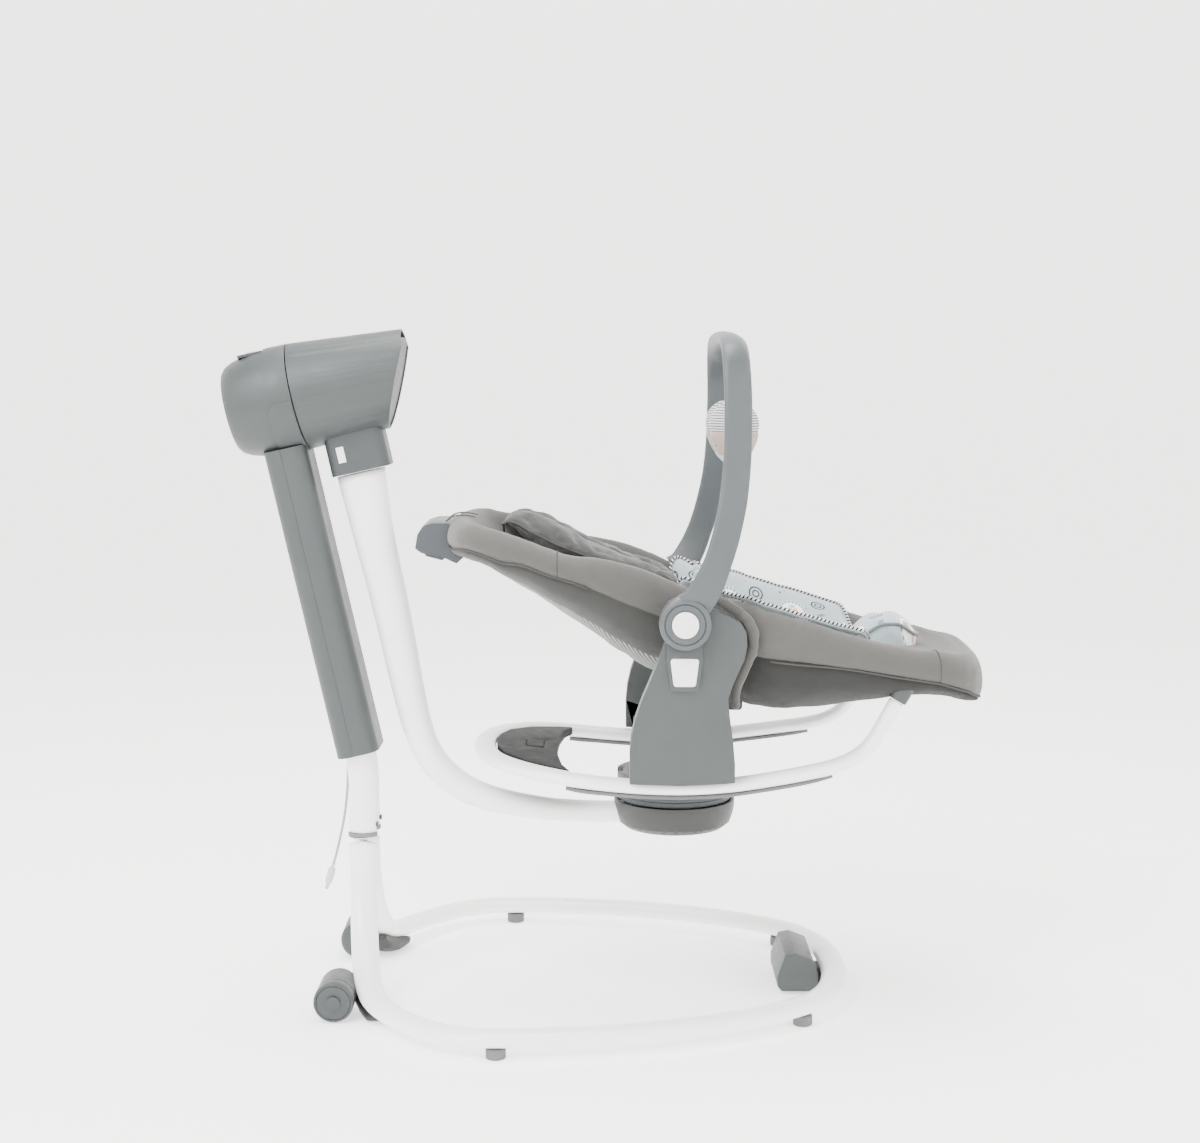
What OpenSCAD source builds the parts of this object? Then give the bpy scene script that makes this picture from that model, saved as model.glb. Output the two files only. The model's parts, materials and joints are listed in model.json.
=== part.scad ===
// Baby swing with a lift-off bouncer seat. Millimetres, +Z up, the floor at z = 0.
// +X runs from the post at the head end to the foot end, -Y is the near side.

/* [Post and head] */
// Height of the swing axle above the floor, at the gap between the two head shells
axle_height = 796; // [780:1:810]
// Distance of that point behind the middle of the swing
axle_back = 400; // [396:1:404]
// Upward tilt of the swing axle, in degrees
axle_tilt = 12.6; // [12:0.1:13]
// Radius of the round head at the gap
head_r = 71; // [69:0.5:73]
// Width of the post cover across the swing
cover_w = 88; // [84:1:92]
// Wall of the moulded shells
shell_wall = 3; // [2.5:0.1:3.5]

/* [Floor frame] */
// Long axis of the oval frame tube
tube_w = 37; // [35:1:38]
// Short axis of the oval frame tube
tube_t = 23; // [22:1:23]
// Height of a rubber foot below the frame tube
foot_h = 13.5; // [12:0.5:14]
// Wall of the steel tubes
tube_wall = 1.5; // [1.2:0.1:2]
// Radius of a transport wheel
wheel_r = 26; // [24:0.5:26]

/* [Swing arm and dock] */
// Distance of the seat's turning axis in front of the middle of the swing
dock_x = 97; // [95:1:99]
// Radius of the round dock under the seat
dock_r = 81; // [79:0.5:82]

/* [Seat] */
// Forward place of the recline and toy bar pivot
pivot_x = 101.5; // [100:0.5:103]
// Height of the recline and toy bar pivot
pivot_z = 523; // [521:1:525]
// Distance from the middle to a bouncer loop tube
loop_y = 170; // [168:1:172]
// Half the width of the padded seat
pad_y = 165; // [162:1:168]
// Radius of the seat's round frame tubes
rail_r = 8; // [7:0.5:8]

/* [Hidden] */
$fn = 64;

big = 1000;
cover_d = 57;           // depth of the post cover along the swing axle
cover_s0 = -58.5;       // rear face of the post cover, measured along the axle from the gap
cover_split = -35;      // parting line between the two cover shells
cover_top = 62;         // start of the post cover, measured down the post from the axle
cover_end = 479;        // lower end of the post cover, measured down the post
lead_s = 49;            // the power lead's hole, this far behind the gap
axle_r = 10;
bearing_r = 17;
run = 0.05;             // radial clearance of a running fit
gap = 0.75;             // half the gap between the rear and front head shells

leg_y = 21;             // distance from the middle to an upper leg tube
leg_x = -321;
joint_z = 212;          // height of the joint between upper and lower leg
wheel_x = -344;
wheel_z = wheel_r + 1.5;
wheel_y = 152;          // inner face of a wheel
wheel_w = 19.5;
pin_r = 5;              // wheel axle radius

sector_pitch = 33;      // pitch radius of the swing gear, three times the pinion's
pinion_pitch = 11;
pinion_offset = sector_pitch + pinion_pitch;
gear_s = -48;           // rear face of both gears along the axle
gear_w = 8;

dock_top = 258;
spindle_r = 12;
plate_top = 266;        // top face of the turntable disc
bracket_in = 176;       // inner face of a seat bracket
bracket_out = 206;      // outer face of a seat bracket
hub_r = 32;             // toy bar hub
hub_w = 25;
pivot_pin_r = 8;
bar_w = 36;             // width of the toy bar strap
bar_t = 11;             // thickness of the toy bar strap
back_rise = 16.5;       // slope of the backrest frame, in degrees
back_lift = 10;         // backrest rails above the pivot
back_len = 305;         // pivot to the middle of the top rail
back_y = 150;           // backrest side rails
pan_y = 140;            // pan side rails
pan_drop = 9.6;         // slope of the pan frame, in degrees
pan_x = 150;            // rear end of the pan frame
pan_z = 500;
pan_len = 318;          // pan frame from its rear end to the middle of the front rail
trough_y = 120;         // half the width of the hollow between the bolsters

plastic = [0.58, 0.61, 0.61];
dark = [0.45, 0.47, 0.47];
white = [0.95, 0.95, 0.95];
steel = [0.72, 0.73, 0.74];
cloth = [0.56, 0.55, 0.53];
print = [0.82, 0.87, 0.89];

// --- functions -------------------------------------------------------------

function unit(v) = v / norm(v);
function flip_y(p) = [p.x, -p.y, p.z];
function turned(list) = [for (i = [len(list) - 1 : -1 : 0]) list[i]];

// Catmull-Rom point between b and c
function blend_point(a, b, c, d, t) =
    0.5 * (2 * b + (c - a) * t + (2 * a - 5 * b + 4 * c - d) * t * t
    + (3 * b - 3 * c + d - a) * t * t * t);

// Open curve through a route's points, with n steps between two points
function curve(p, n) = let (last = len(p) - 1) concat(
    [for (i = [0 : last - 1], k = [0 : n - 1])
        blend_point(p[max(i - 1, 0)], p[i], p[i + 1], p[min(i + 2, last)], k / n)],
    [p[last]]);

// Direction of a path at point i
function heading(p, i) = unit(p[min(i + 1, len(p) - 1)] - p[max(i - 1, 0)]);

// Horizontal direction across a path, along +X where the path is vertical
function across(t) = unit([t.y + 0.02, -t.x, 0]);

// One ring of a sweep: c centre, t heading, w width direction, a and b half axes,
// sq 1 for an ellipse and less for a squarer section
function ring(c, t, w, a, b, n, sq) =
    let (side = unit(w - (w * t) * t), up = cross(t, side))
    [for (k = [0 : n - 1]) let (u = cos(360 * k / n), v = sin(360 * k / n))
        c + side * a * sign(u) * pow(abs(u), sq) + up * b * sign(v) * pow(abs(v), sq)];

// --- helpers ---------------------------------------------------------------

// Closed tube skin through a list of rings
module skin(rings) {
    n = len(rings[0]);
    m = len(rings);
    points = [for (r = rings, p = r) p];
    sides = [for (i = [0 : m - 2], k = [0 : n - 1], half = [0, 1])
        let (a = i * n + k, b = i * n + (k + 1) % n)
        half == 0 ? [a, a + n, b + n] : [a, b + n, b]];
    first = [for (k = [0 : n - 1]) k];
    end = [for (k = [n - 1 : -1 : 0]) (m - 1) * n + k];
    polyhedron(points, concat(sides, [first, end]));
}

// Hollow tube between an outer and an inner list of rings
module pipe(outer, inner) {
    n = len(outer[0]);
    m = len(outer);
    base = n * m;
    points = concat([for (r = outer, p = r) p], [for (r = inner, p = r) p]);
    walls = [for (i = [0 : m - 2], k = [0 : n - 1], half = [0 : 3])
        let (a = i * n + k, b = i * n + (k + 1) % n)
        half == 0 ? [a, a + n, b + n] : half == 1 ? [a, b + n, b]
        : half == 2 ? [base + a, base + b + n, base + a + n] : [base + a, base + b, base + b + n]];
    ends = [for (k = [0 : n - 1], half = [0 : 3])
        let (b = (k + 1) % n, z = (m - 1) * n)
        half == 0 ? [k, b, base + b] : half == 1 ? [k, base + b, base + k]
        : half == 2 ? [z + k, base + z + b, z + b] : [z + k, base + z + k, base + z + b]];
    polyhedron(points, concat(walls, ends));
}

module rounded(w, h, r) {
    square([w - 2 * r, h], center = true);
    square([w, h - 2 * r], center = true);
    for (x = [-1, 1], y = [-1, 1])
        translate([x * (w / 2 - r), y * (h / 2 - r)]) circle(r = r);
}

// Side outline, drawn in X and Z, as a slab from y0 to y1
module slab(y0, y1) {
    translate([0, y1, 0]) rotate([90, 0, 0]) linear_extrude(height = y1 - y0) children();
}

// Cylinder along Y from y0 to y1
module rod_y(x, z, r, y0, y1) {
    translate([x, y1, z]) rotate([90, 0, 0]) cylinder(r = r, h = y1 - y0);
}

module both_sides() {
    children();
    mirror([0, 1, 0]) children();
}

module near_side() {
    mirror([0, 1, 0]) children();
}

// Frame of the swing axle: local Z along the axle, local X down the post
module on_axle() {
    translate([-axle_back, 0, axle_height]) rotate([0, 90 - axle_tilt, 0]) children();
}

// Extrusion down the post: the 2D shape's X is minus the place along the axle
module down_post(from, to) {
    on_axle() translate([from, 0, 0]) rotate([0, 90, 0])
        linear_extrude(height = to - from) children();
}

module ring_disc(r_out, r_in, h) {
    difference() {
        cylinder(r = r_out, h = h);
        translate([0, 0, -1]) cylinder(r = r_in, h = h + 2);
    }
}

// --- floor frame -----------------------------------------------------------

// Half of the floor frame's centre line, from the leg joint round to the front
base_route = [[leg_x, leg_y, joint_z - 3], [leg_x, leg_y, 182], [-320, 28, 142], [-317, 52, 96],
    [-312, 86, 62], [-305, 120, 40], [-294, 156, 29], [-276, 194, foot_h + 12.5],
    [-250, 230, foot_h + 11.5], [-218, 264, foot_h + 11.5], [-176, 288, foot_h + 11.5],
    [-130, 295, foot_h + 11.5], [-60, 291, foot_h + 11.5], [0, 284, foot_h + 11.5],
    [50, 272, foot_h + 11.5], [100, 257, foot_h + 11.5], [150, 238, foot_h + 11.5],
    [200, 213, foot_h + 11.5], [245, 182, foot_h + 11.5], [278, 148, foot_h + 11.5],
    [300, 103, foot_h + 11.5], [311, 52, foot_h + 11.5], [313, 0, foot_h + 11.5]];

function base_rings(a, b) = let (
    half = curve(base_route, 2),
    path = concat(half, turned([for (i = [0 : len(half) - 2]) flip_y(half[i])])),
    middle = len(half) - 1)
    [for (i = [0 : len(path) - 1]) let (t = heading(path, i),
        side = i > middle ? -across([-t.x, t.y, t.z]) : across(t))
        ring(path[i], t, i > middle ? [-side.x, side.y, 0] : side, a, b, 16, 1)];

module base_ring() {
    color(white) pipe(base_rings(tube_w / 2, tube_t / 2),
        base_rings(tube_w / 2 - tube_wall, tube_t / 2 - tube_wall));
}

// Upper leg: straight up from the joint, then up the tilted post
function post_point(s, down) = [
    -axle_back + s * cos(axle_tilt) + down * sin(axle_tilt), leg_y,
    axle_height + s * sin(axle_tilt) - down * cos(axle_tilt)];
leg_path = concat(
    curve([[leg_x, leg_y, joint_z + 3], [leg_x, leg_y, 262], [leg_x - 0.5, leg_y, 290],
        post_point(-30, cover_end - 8)], 3),
    [post_point(-30, 300), post_point(-30, 78)]);

module upper_leg() {
    bore_z = joint_z + 13;
    difference() {
        pipe([for (i = [0 : len(leg_path) - 1])
                ring(leg_path[i], heading(leg_path, i), [1, 0, 0], tube_w / 2, tube_t / 2, 16, 1)],
            [for (i = [0 : len(leg_path) - 1])
                ring(leg_path[i], heading(leg_path, i), [1, 0, 0],
                    tube_w / 2 - tube_wall, tube_t / 2 - tube_wall, 16, 1)]);
        translate([leg_x + 10, leg_y, bore_z]) rotate([0, 90, 0]) cylinder(r = 3.5 + run, h = 20);
    }
}

module upper_leg_tubes() {
    color(white) both_sides() upper_leg();
}

// Grey collars between upper and lower legs
module leg_joint_rings() {
    color(plastic) both_sides() translate([leg_x, leg_y, joint_z - 2.6]) linear_extrude(height = 5.2)
        rounded(tube_w + 2, tube_t + 2, 12);
}

// Spring button that pops out through the upper leg
module leg_button() {
    color(plastic) translate([leg_x + 13, leg_y, joint_z + 13]) rotate([0, 90, 0])
        cylinder(r = 3.5, h = 8);
}

module leg_button_near() {
    near_side() leg_button();
}

module leg_button_far() {
    leg_button();
}

// --- post covers -----------------------------------------------------------

// Radius of the rear housing at stations along the axle, from the gap to the rear
housing_profile = [[head_r, -gap], [head_r + 0.5, -22], [head_r - 0.5, -43], [head_r - 4, -61],
    [head_r - 8, -76], [head_r - 13, -86], [head_r - 19, -91]];

module housing_solid(grow) {
    rotate_extrude() polygon(concat([[0, -91 - grow], [0, -gap]],
        [for (p = housing_profile) [p.x + grow, p.y - (p.y < -90 ? grow : 0)]]));
}

module cover_tube(grow) {
    down_post(cover_top, cover_end) translate([-(cover_s0 + cover_d / 2), 0])
        rounded(cover_d + 2 * grow, cover_w + 2 * grow, 18 + grow);
}

module cover_shell() {
    difference() {
        cover_tube(0);
        down_post(cover_top - 1, cover_end - shell_wall)
            translate([-(cover_s0 + cover_d / 2), 0])
            rounded(cover_d - 2 * shell_wall, cover_w - 2 * shell_wall, 15);
        on_axle() housing_solid(0);
        both_sides() down_post(cover_end - 10, cover_end + 1) translate([30, leg_y])
            rounded(tube_w + 2.5, tube_t + 1.5, 12);
        down_post(cover_end - 10, cover_end + 1) translate([lead_s, 0]) circle(r = 3.9);
    }
}

// Side tongues of the front shell, lying on the head
module cover_tongues() {
    intersection() {
        on_axle() housing_solid(1.5);
        on_axle() translate([3, 0, cover_split]) linear_extrude(height = -cover_split - gap)
            difference() {
                translate([0, -big]) square([cover_top + 8, 2 * big]);
                translate([-1, -40]) square([cover_top + 10, 80]);
            }
        on_axle() translate([0, big, 0]) rotate([90, 0, 0]) linear_extrude(height = 2 * big)
            union() {
                translate([18, cover_split]) square([60, big]);
                translate([0, cover_split + 15]) square([60, big]);
                translate([18, cover_split + 15]) circle(r = 15);
            }
    }
}

module leg_cover_front() {
    color(plastic) {
        intersection() {
            cover_shell();
            on_axle() translate([0, -big, cover_split]) cube([big, 2 * big, big]);
        }
        difference() {
            cover_tongues();
            on_axle() housing_solid(0);
        }
    }
}

module leg_cover_rear() {
    color(plastic) intersection() {
        cover_shell();
        on_axle() translate([0, -big, cover_split - big]) cube([big, 2 * big, big]);
    }
}

// --- head, fixed half ------------------------------------------------------

panel_s = -48;          // middle of the control panel along the axle
panel_r = 69;           // its top face above the axle
button_y = 15;

module at_panel(up) {
    on_axle() translate([-up, 0, panel_s]) rotate([0, -90, 0]) children();
}

module rear_housing() {
    color(plastic) difference() {
        on_axle() difference() {
            housing_solid(0);
            difference() {
                rotate_extrude() polygon(concat([[0, -91 + shell_wall], [0, -4 - gap]],
                    [for (p = housing_profile) [p.x - shell_wall,
                        min(max(p.y, -91 + shell_wall), -4 - gap)]]));
                // bearing bosses on the front wall and a bulkhead
                translate([0, 0, -15]) cylinder(r = bearing_r + 5, h = 15);
                translate([0, 0, -71]) cylinder(r = head_r, h = 4);
                translate([0, 0, -74]) cylinder(r = bearing_r + 5, h = 10);
            }
            translate([0, 0, -74]) cylinder(r = bearing_r, h = 80);
        }
        at_panel(panel_r - 4) linear_extrude(height = 20) rounded(34, 48, 6);
        at_panel(50) linear_extrude(height = 20) rounded(27, 45, 3);
    }
}

module control_panel() {
    color(dark) at_panel(panel_r - 4) linear_extrude(height = 4) difference() {
        rounded(34, 48, 6);
        for (k = [-1 : 1]) translate([0, k * button_y]) circle(r = 5.5 + run);
    }
}

module panel_button(k) {
    color(white) at_panel(panel_r - 6.1) translate([0, k * button_y, 0]) {
        cylinder(r = 5.5, h = 7.6);
        cylinder(r = 6.5, h = 2);
    }
}

module speed_button() {
    panel_button(-1);
}

module timer_button() {
    panel_button(0);
}

module melody_button() {
    panel_button(1);
}

module control_board() {
    color([0.1, 0.4, 0.25]) at_panel(panel_r - 11.6) {
        linear_extrude(height = 1.6) rounded(24, 38, 1);
        for (k = [-1 : 1]) translate([-3, k * button_y - 3, 1.6]) cube([6, 6, 2.2]);
    }
}

module motor() {
    color(steel) on_axle() translate([-pinion_offset, 0, -34]) ring_disc(17, 3 + run, 34 - 4 - gap);
}

module gear_teeth(count, root, tip, first, pitch_angle) {
    circle(r = root);
    for (k = [0 : count - 1]) rotate(first + k * pitch_angle)
        polygon([[root - 0.5, -1.55], [tip, -0.6], [tip, 0.6], [root - 0.5, 1.55]]);
}

module motor_pinion() {
    color(dark) on_axle() translate([-pinion_offset, 0, gear_s]) {
        linear_extrude(height = gear_w)
            gear_teeth(12, pinion_pitch - 2.4, pinion_pitch + 1.8, 15, 30);
        translate([0, 0, gear_w]) cylinder(r = 3, h = 26);
    }
}

module axle_bearings() {
    color(steel) on_axle() for (s = [-14.5, -73.5])
        translate([0, 0, s]) ring_disc(bearing_r, axle_r + run, 9.5);
}

// --- wheels, feet and front block ------------------------------------------

module wheel_housing() {
    outline = [[-367, 14], [-360, 46], [-343, 57], [-329, 48], [-328, 15], [-280, 13],
        [-276, 6], [-281, 0], [-330, 0], [-345, 5]];
    difference() {
        slab(110, 151) polygon(outline);
        rod_y(wheel_x, wheel_z, pin_r, 100, 160);
    }
}

module wheel_housings() {
    color(plastic) both_sides() wheel_housing();
}

module wheel_axles() {
    color(steel) both_sides() {
        rod_y(wheel_x, wheel_z, pin_r, 114, wheel_y + wheel_w + 0.5);
        rod_y(wheel_x, wheel_z, 9, wheel_y + wheel_w + 0.5, wheel_y + wheel_w + 3);
    }
}

module wheel() {
    color(dark) difference() {
        rod_y(wheel_x, wheel_z, wheel_r, wheel_y, wheel_y + wheel_w);
        rod_y(wheel_x, wheel_z, pin_r + run, wheel_y - 1, wheel_y + wheel_w + 1);
        rod_y(wheel_x, wheel_z, wheel_r - 5, wheel_y + wheel_w - 1.5, wheel_y + wheel_w + 1);
    }
}

module wheel_near() {
    near_side() wheel();
}

module wheel_far() {
    wheel();
}

module feet() {
    color(dark) both_sides() for (p = [[-130, 294], [256, 172]])
        translate([p.x, p.y, 0]) cylinder(r = 12.5, h = foot_h);
}

module front_block() {
    outline = [[234, 26], [244, 54], [258, 57], [281, 48], [288, 30], [288, 13], [308, 13],
        [308, 5], [240, 5], [234, 12]];
    color(plastic) difference() {
        slab(-56, 56) polygon(outline);
        translate([239, -52, 0]) cube([44, 104, 40]);
    }
}

// --- power lead ------------------------------------------------------------

lead_d = 3.6;
lead_route = [[-342.7, 0, 314.4], [-343, 0, 300], [-344, 0, 270], [-348, 0, 235], [-354, 0, 205],
    [-360, 0, 180], [-364, 0, 166]];

module lead_grommet() {
    color(dark) {
        down_post(cover_end - 5, cover_end + 3) translate([lead_s, 0]) circle(r = 3.8);
        down_post(cover_end + 0.3, cover_end + 2.3) translate([lead_s, 0]) circle(r = 5.5);
    }
}

module power_lead() {
    path = curve(lead_route, 4);
    color(white) skin([for (i = [0 : len(path) - 1])
        ring(path[i], heading(path, i), [0, 1, 0], lead_d / 2, lead_d / 2, 8, 1)]);
}

module lead_connector() {
    color(white) translate([-364, 0, 166]) rotate([0, 180 + 14.9, 0]) {
        cylinder(r = 2.4, h = 6);
        translate([0, 0, 6]) cylinder(r = 5, h = 22);
        translate([0, 0, 28]) cylinder(r = 2.7, h = 9);
    }
}

// --- head, swinging half ---------------------------------------------------

face_x = -268;          // middle of the front head's face
face_z = 818;
front_tilt = 11;        // downward lean of the face
collar_s = 60;          // middle of the collar along the axle
collar_w = 79;
collar_t = 62;
collar_end = 113;

// Cone about an axis a little flatter than the axle
module head_cone(shrink) {
    translate([-axle_back, 0, axle_height]) rotate([0, 90 - axle_tilt + 1.6, 0])
        translate([0, 0, -10]) cylinder(r1 = head_r + 0.7 - shrink, r2 = head_r - 9.8 - shrink,
            h = 160);
}

// Everything behind the tilted face
module behind_face(back) {
    translate([face_x - back, 0, face_z]) rotate([0, front_tilt, 0])
        translate([-big, -big / 2, -big / 2]) cube([big, big, big]);
}

module in_front_of_gap(s) {
    on_axle() translate([-big / 2, -big / 2, s]) cube([big, big, big]);
}

module front_head() {
    color(plastic) difference() {
        intersection() {
            head_cone(0);
            behind_face(0);
            in_front_of_gap(gap);
        }
        intersection() {
            head_cone(shell_wall);
            in_front_of_gap(gap + 4);
            behind_face(-1);
        }
        on_axle() translate([0, 0, -5]) cylinder(r = axle_r, h = 20);
        down_post(40, 120) translate([-collar_s, 0]) rounded(collar_w, collar_t, 14);
    }
}

module face_plate() {
    color(dark) difference() {
        intersection() {
            head_cone(shell_wall);
            behind_face(2);
        }
        behind_face(5);
    }
}

module swing_axle() {
    color(steel) on_axle() translate([0, 0, -76]) cylinder(r = axle_r, h = 76 + 84);
}

module sector_gear() {
    color(dark) on_axle() translate([0, 0, gear_s]) linear_extrude(height = gear_w)
        difference() {
            union() {
                circle(r = 20);
                intersection() {
                    gear_teeth(9, sector_pitch - 2.4, sector_pitch + 1.8, 140, 10);
                    polygon([[0, 0], [-80, -75], [-80, 75]]);
                }
            }
            circle(r = axle_r);
        }
}

module arm_collar() {
    color(dark) difference() {
        union() {
            down_post(54, collar_end) translate([-collar_s, 0])
                rounded(collar_w, collar_t, 14);
            on_axle() translate([-16, -22, 34]) cube([72, 44, 50]);
        }
        on_axle() translate([0, 0, 20]) cylinder(r = axle_r, h = 80);
        down_post(100, 120) translate([-53, 0]) rounded(68, 50, 20);
        on_axle() translate([76, -collar_t / 2 - 1, 35]) cube([21, 9, 10]);
    }
}

module arm_release_button() {
    color(white) on_axle() translate([76.1, -collar_t / 2 - 0.8, 35.1])
        cube([20.8, 6, 9.8]);
}

// Centre line of the arm, with half its depth at each point
arm_route = [[-319.6, 0, 696], [-304, 0, 612], [-285, 0, 530], [-269, 0, 450], [-255, 0, 380],
    [-243, 0, 338], [-229, 0, 309], [-207, 0, 285], [-181, 0, 267], [-146, 0, 254],
    [-106, 0, 246], [-60, 0, 240], [0, 0, 238], [40, 0, 238]];
arm_half = [33, 27.5, 25.2, 23.4, 21.2, 20, 19.5, 19, 18.4, 17.3, 16, 14.6, 14, 14];

function arm_rings(less) = let (path = curve(arm_route, 2), depth = curve(arm_half, 2))
    [for (i = [0 : len(path) - 1])
        let (t = i == 0 ? [sin(axle_tilt), 0, -cos(axle_tilt)] : heading(path, i))
        ring(path[i], t, [0, 1, 0], 18 + depth[i] * 0.2 - less, depth[i] - less, 20, 0.9)];

module swing_arm() {
    color(white) pipe(arm_rings(0), arm_rings(2));
}

// --- dock and turntable ----------------------------------------------------

module dock_bowl() {
    color(plastic) difference() {
        translate([dock_x, 0, 0]) rotate_extrude() polygon([[0, 217], [52, 217], [66, 220],
            [75, 227], [79, 238], [dock_r, 248], [dock_r, dock_top], [dock_r - 4, dock_top],
            [dock_r - 4, 249], [75, 239], [71, 229.5], [64, 223.5], [52, 221], [20, 221],
            [20, dock_top - 2], [0, dock_top - 2]]);
        translate([dock_x, 0, 210]) cylinder(r = spindle_r, h = 60);
        translate([0, 0, 238]) rotate([0, 90, 0]) linear_extrude(height = 60)
            rounded(29, 44, 14);
    }
}

module dock_spindle() {
    color(steel) translate([dock_x, 0, 219]) cylinder(r = spindle_r, h = 44);
}

module turntable() {
    color(dark) difference() {
        union() {
            translate([dock_x, 0, dock_top + 0.4]) cylinder(r = 76, h = plate_top - dock_top - 0.4);
            translate([dock_x, 0, plate_top - 1]) linear_extrude(height = 23)
                rounded(90, 60, 12);
        }
        translate([dock_x, 0, 250]) cylinder(r = spindle_r + run, h = 14);
    }
}

module seat_base() {
    color(plastic) difference() {
        union() {
            translate([dock_x, 0, plate_top + 0.4]) cylinder(r = 78, h = 30);
            translate([dock_x, 0, 270]) linear_extrude(height = 27)
                rounded(116, 2 * (loop_y - 18), 12);
        }
        translate([dock_x, 0, 260]) linear_extrude(height = 29) rounded(91, 61, 12.5);
        translate([-2, 0, 0]) slab(-14.3, 14.3) square([30, 400]);
    }
}

// --- bouncer loop ----------------------------------------------------------

loop_w = 30;
loop_t = 19;
// Half of the loop's centre line, from the rear middle round to the front end
loop_route = [[-157, 0, 332], [-154, 45, 331], [-141, 92, 329], [-110, 133, 326],
    [-68, 158, 321], [-18, loop_y - 2, 314.5], [45, loop_y, 309], [100, loop_y, 307.5],
    [152, loop_y, 310], [202, loop_y - 3, 316], [252, 161, 323.5], [294, 152, 331],
    [322, 144, 341], [342, 139, 357], [357, 135, 380], [375, 130, 411]];

function loop_rings(a, b) = let (
    half = curve(loop_route, 2),
    path = concat(turned([for (i = [1 : len(half) - 1]) flip_y(half[i])]), half),
    middle = len(half) - 1)
    [for (i = [0 : len(path) - 1]) let (t = heading(path, i),
        slim = max(0, abs(i - middle) - 22) / 8)
        ring(path[i], t, i < middle ? flip_y(across(flip_y(-t))) : across(t),
            a - slim * 4.5, b, 16, 1)];

module bouncer_loop() {
    color(white) pipe(loop_rings(loop_w / 2, loop_t / 2),
        loop_rings(loop_w / 2 - tube_wall, loop_t / 2 - tube_wall));
}

// Soft strips under the long sides of the loop
module grip_strips() {
    strip = [[-46, 308.2], [-30, 304.5], [0, 302], [45, 299.2], [100, 297.7], [152, 300.2],
        [202, 306.2], [252, 313.7], [292, 320.8]];
    color(dark) both_sides() for (i = [0 : len(strip) - 2])
        let (a = strip[i], b = strip[i + 1], y = loop_y - (i > 5 ? 6 + 8 * (i - 6) : i < 1 ? 8 : 0))
        slab(y - 9, y + 9) polygon([[a.x, a.y - 3], [b.x, b.y - 3], [b.x, b.y - 0.4], [a.x, a.y - 0.4]]);
}

// D-shaped panel that fills the head end of the loop
panel_half = [[-60, 0], [-58, 60], [-52, 115], [-42, 147], [-62, 139.5], [-99, 117], [-127, 81], [-138.5, 40], [-141.5, 0]];
release_x = -90;

module rear_panel() {
    color(plastic) difference() {
        intersection() {
            translate([0, 0, 300]) linear_extrude(height = 50) polygon(concat(panel_half,
                [for (p = turned(panel_half)) if (p.y > 0) [p.x, -p.y]]));
            slab(-200, 200) polygon([[-150, 327], [-150, 338], [-40, 325], [-40, 314]]);
        }
        translate([release_x, 0, 322]) linear_extrude(height = 20) rounded(24, 44, 4);
    }
}

module seat_release_button() {
    color(plastic) translate([release_x, 0, 324]) linear_extrude(height = 11)
        rounded(23.6, 43.6, 3.8);
}

ferrule_lean = 60;

module loop_ferrules() {
    color(dark) both_sides() translate([375, 130, 411]) rotate([0, 90 - ferrule_lean, 0])
        translate([0, 0, 1.9]) linear_extrude(height = 32.4) rounded(24, 24, 8);
}

// --- brackets and pan ------------------------------------------------------

bracket_outline = [[34, 319.6], [34, 358], [36, 380], [41, 402], [49, 425], [58, 447], [67, 468],
    [74, 486], [79, 503], [74, 516], [73, 530], [80, 546], [95, 553], [110, 552], [124, 545],
    [140, 537], [158, 530], [171, 522], [178, 510], [179, 494], [176, 477], [169, 461],
    [161, 443], [156, 427], [158, 405], [162, 377], [165, 345], [165, 321.3],
    [152, 319.9], [100, 317.4], [45, 319]];

module bracket() {
    difference() {
        union() {
            slab(bracket_in, bracket_out) polygon(bracket_outline);
            slab(118, bracket_in) polygon([[45, 319.8], [45, 336], [70, 342], [130, 342],
                [155, 336], [155, 320.4]]);
            slab(118, loop_y - 17) polygon([[45, 297.2], [45, 321], [155, 321], [155, 297.2]]);
            rod_y(pivot_x, pivot_z, 20, back_y + rail_r + 0.4, bracket_in);
            slab(126, bracket_in) translate([pan_x, pan_z]) rounded(24, 24, 6);
            slab(bracket_out, bracket_out + 8) difference() {
                polygon([[80, 505], [123, 505], [124, 474], [118, 438], [85, 438], [79, 474]]);
                translate([pivot_x, pivot_z]) circle(r = hub_r + 1);
            }
        }
        rod_y(pivot_x, pivot_z, pivot_pin_r, 140, 240);
        slab(bracket_out + 2, bracket_out + 9) toy_button_face(0.1);
        translate([87, 110, 319]) cube([40, 60, 12]);
    }
}

module seat_brackets() {
    color(plastic) both_sides() bracket();
}

// Tapered outline of the button that frees the toy bar
module toy_button_face(grow) {
    translate([pivot_x, 462]) offset(r = 4 + grow)
        polygon([[-13.5, 13], [13.5, 13], [10, -14], [-10, -14]]);
}

module toy_button() {
    color(white) slab(bracket_out + 5.5, bracket_out + 9.5) toy_button_face(0);
}

module toy_button_near() {
    near_side() toy_button();
}

module toy_button_far() {
    toy_button();
}

module pivot_pins() {
    color(steel) both_sides() {
        rod_y(pivot_x, pivot_z, pivot_pin_r, 139, bracket_out + hub_w - 2);
        rod_y(pivot_x, pivot_z, 13, 135, 139);
    }
}

// U of round tube lying in its own plane: two rails at +-y, ends at 0, front rail at length
module rail_u(y, length, bend, r) {
    straight = length - bend;
    both_sides() translate([0, y, 0]) rotate([0, 90, 0]) cylinder(r = r, h = straight);
    both_sides() translate([straight, y - bend, 0]) rotate_extrude(angle = 90)
        translate([bend, 0]) circle(r = r);
    rod_y(length, 0, r, -(y - bend), y - bend);
}

module pan_rails(r) {
    translate([pan_x, 0, pan_z]) rotate([0, pan_drop, 0]) intersection() {
        rail_u(pan_y, pan_len, 60, r);
        translate([14, -big / 2, -big / 2]) cube([big, big, big]);
    }
}

module pan_frame() {
    color(steel) pan_rails(rail_r);
}

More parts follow.
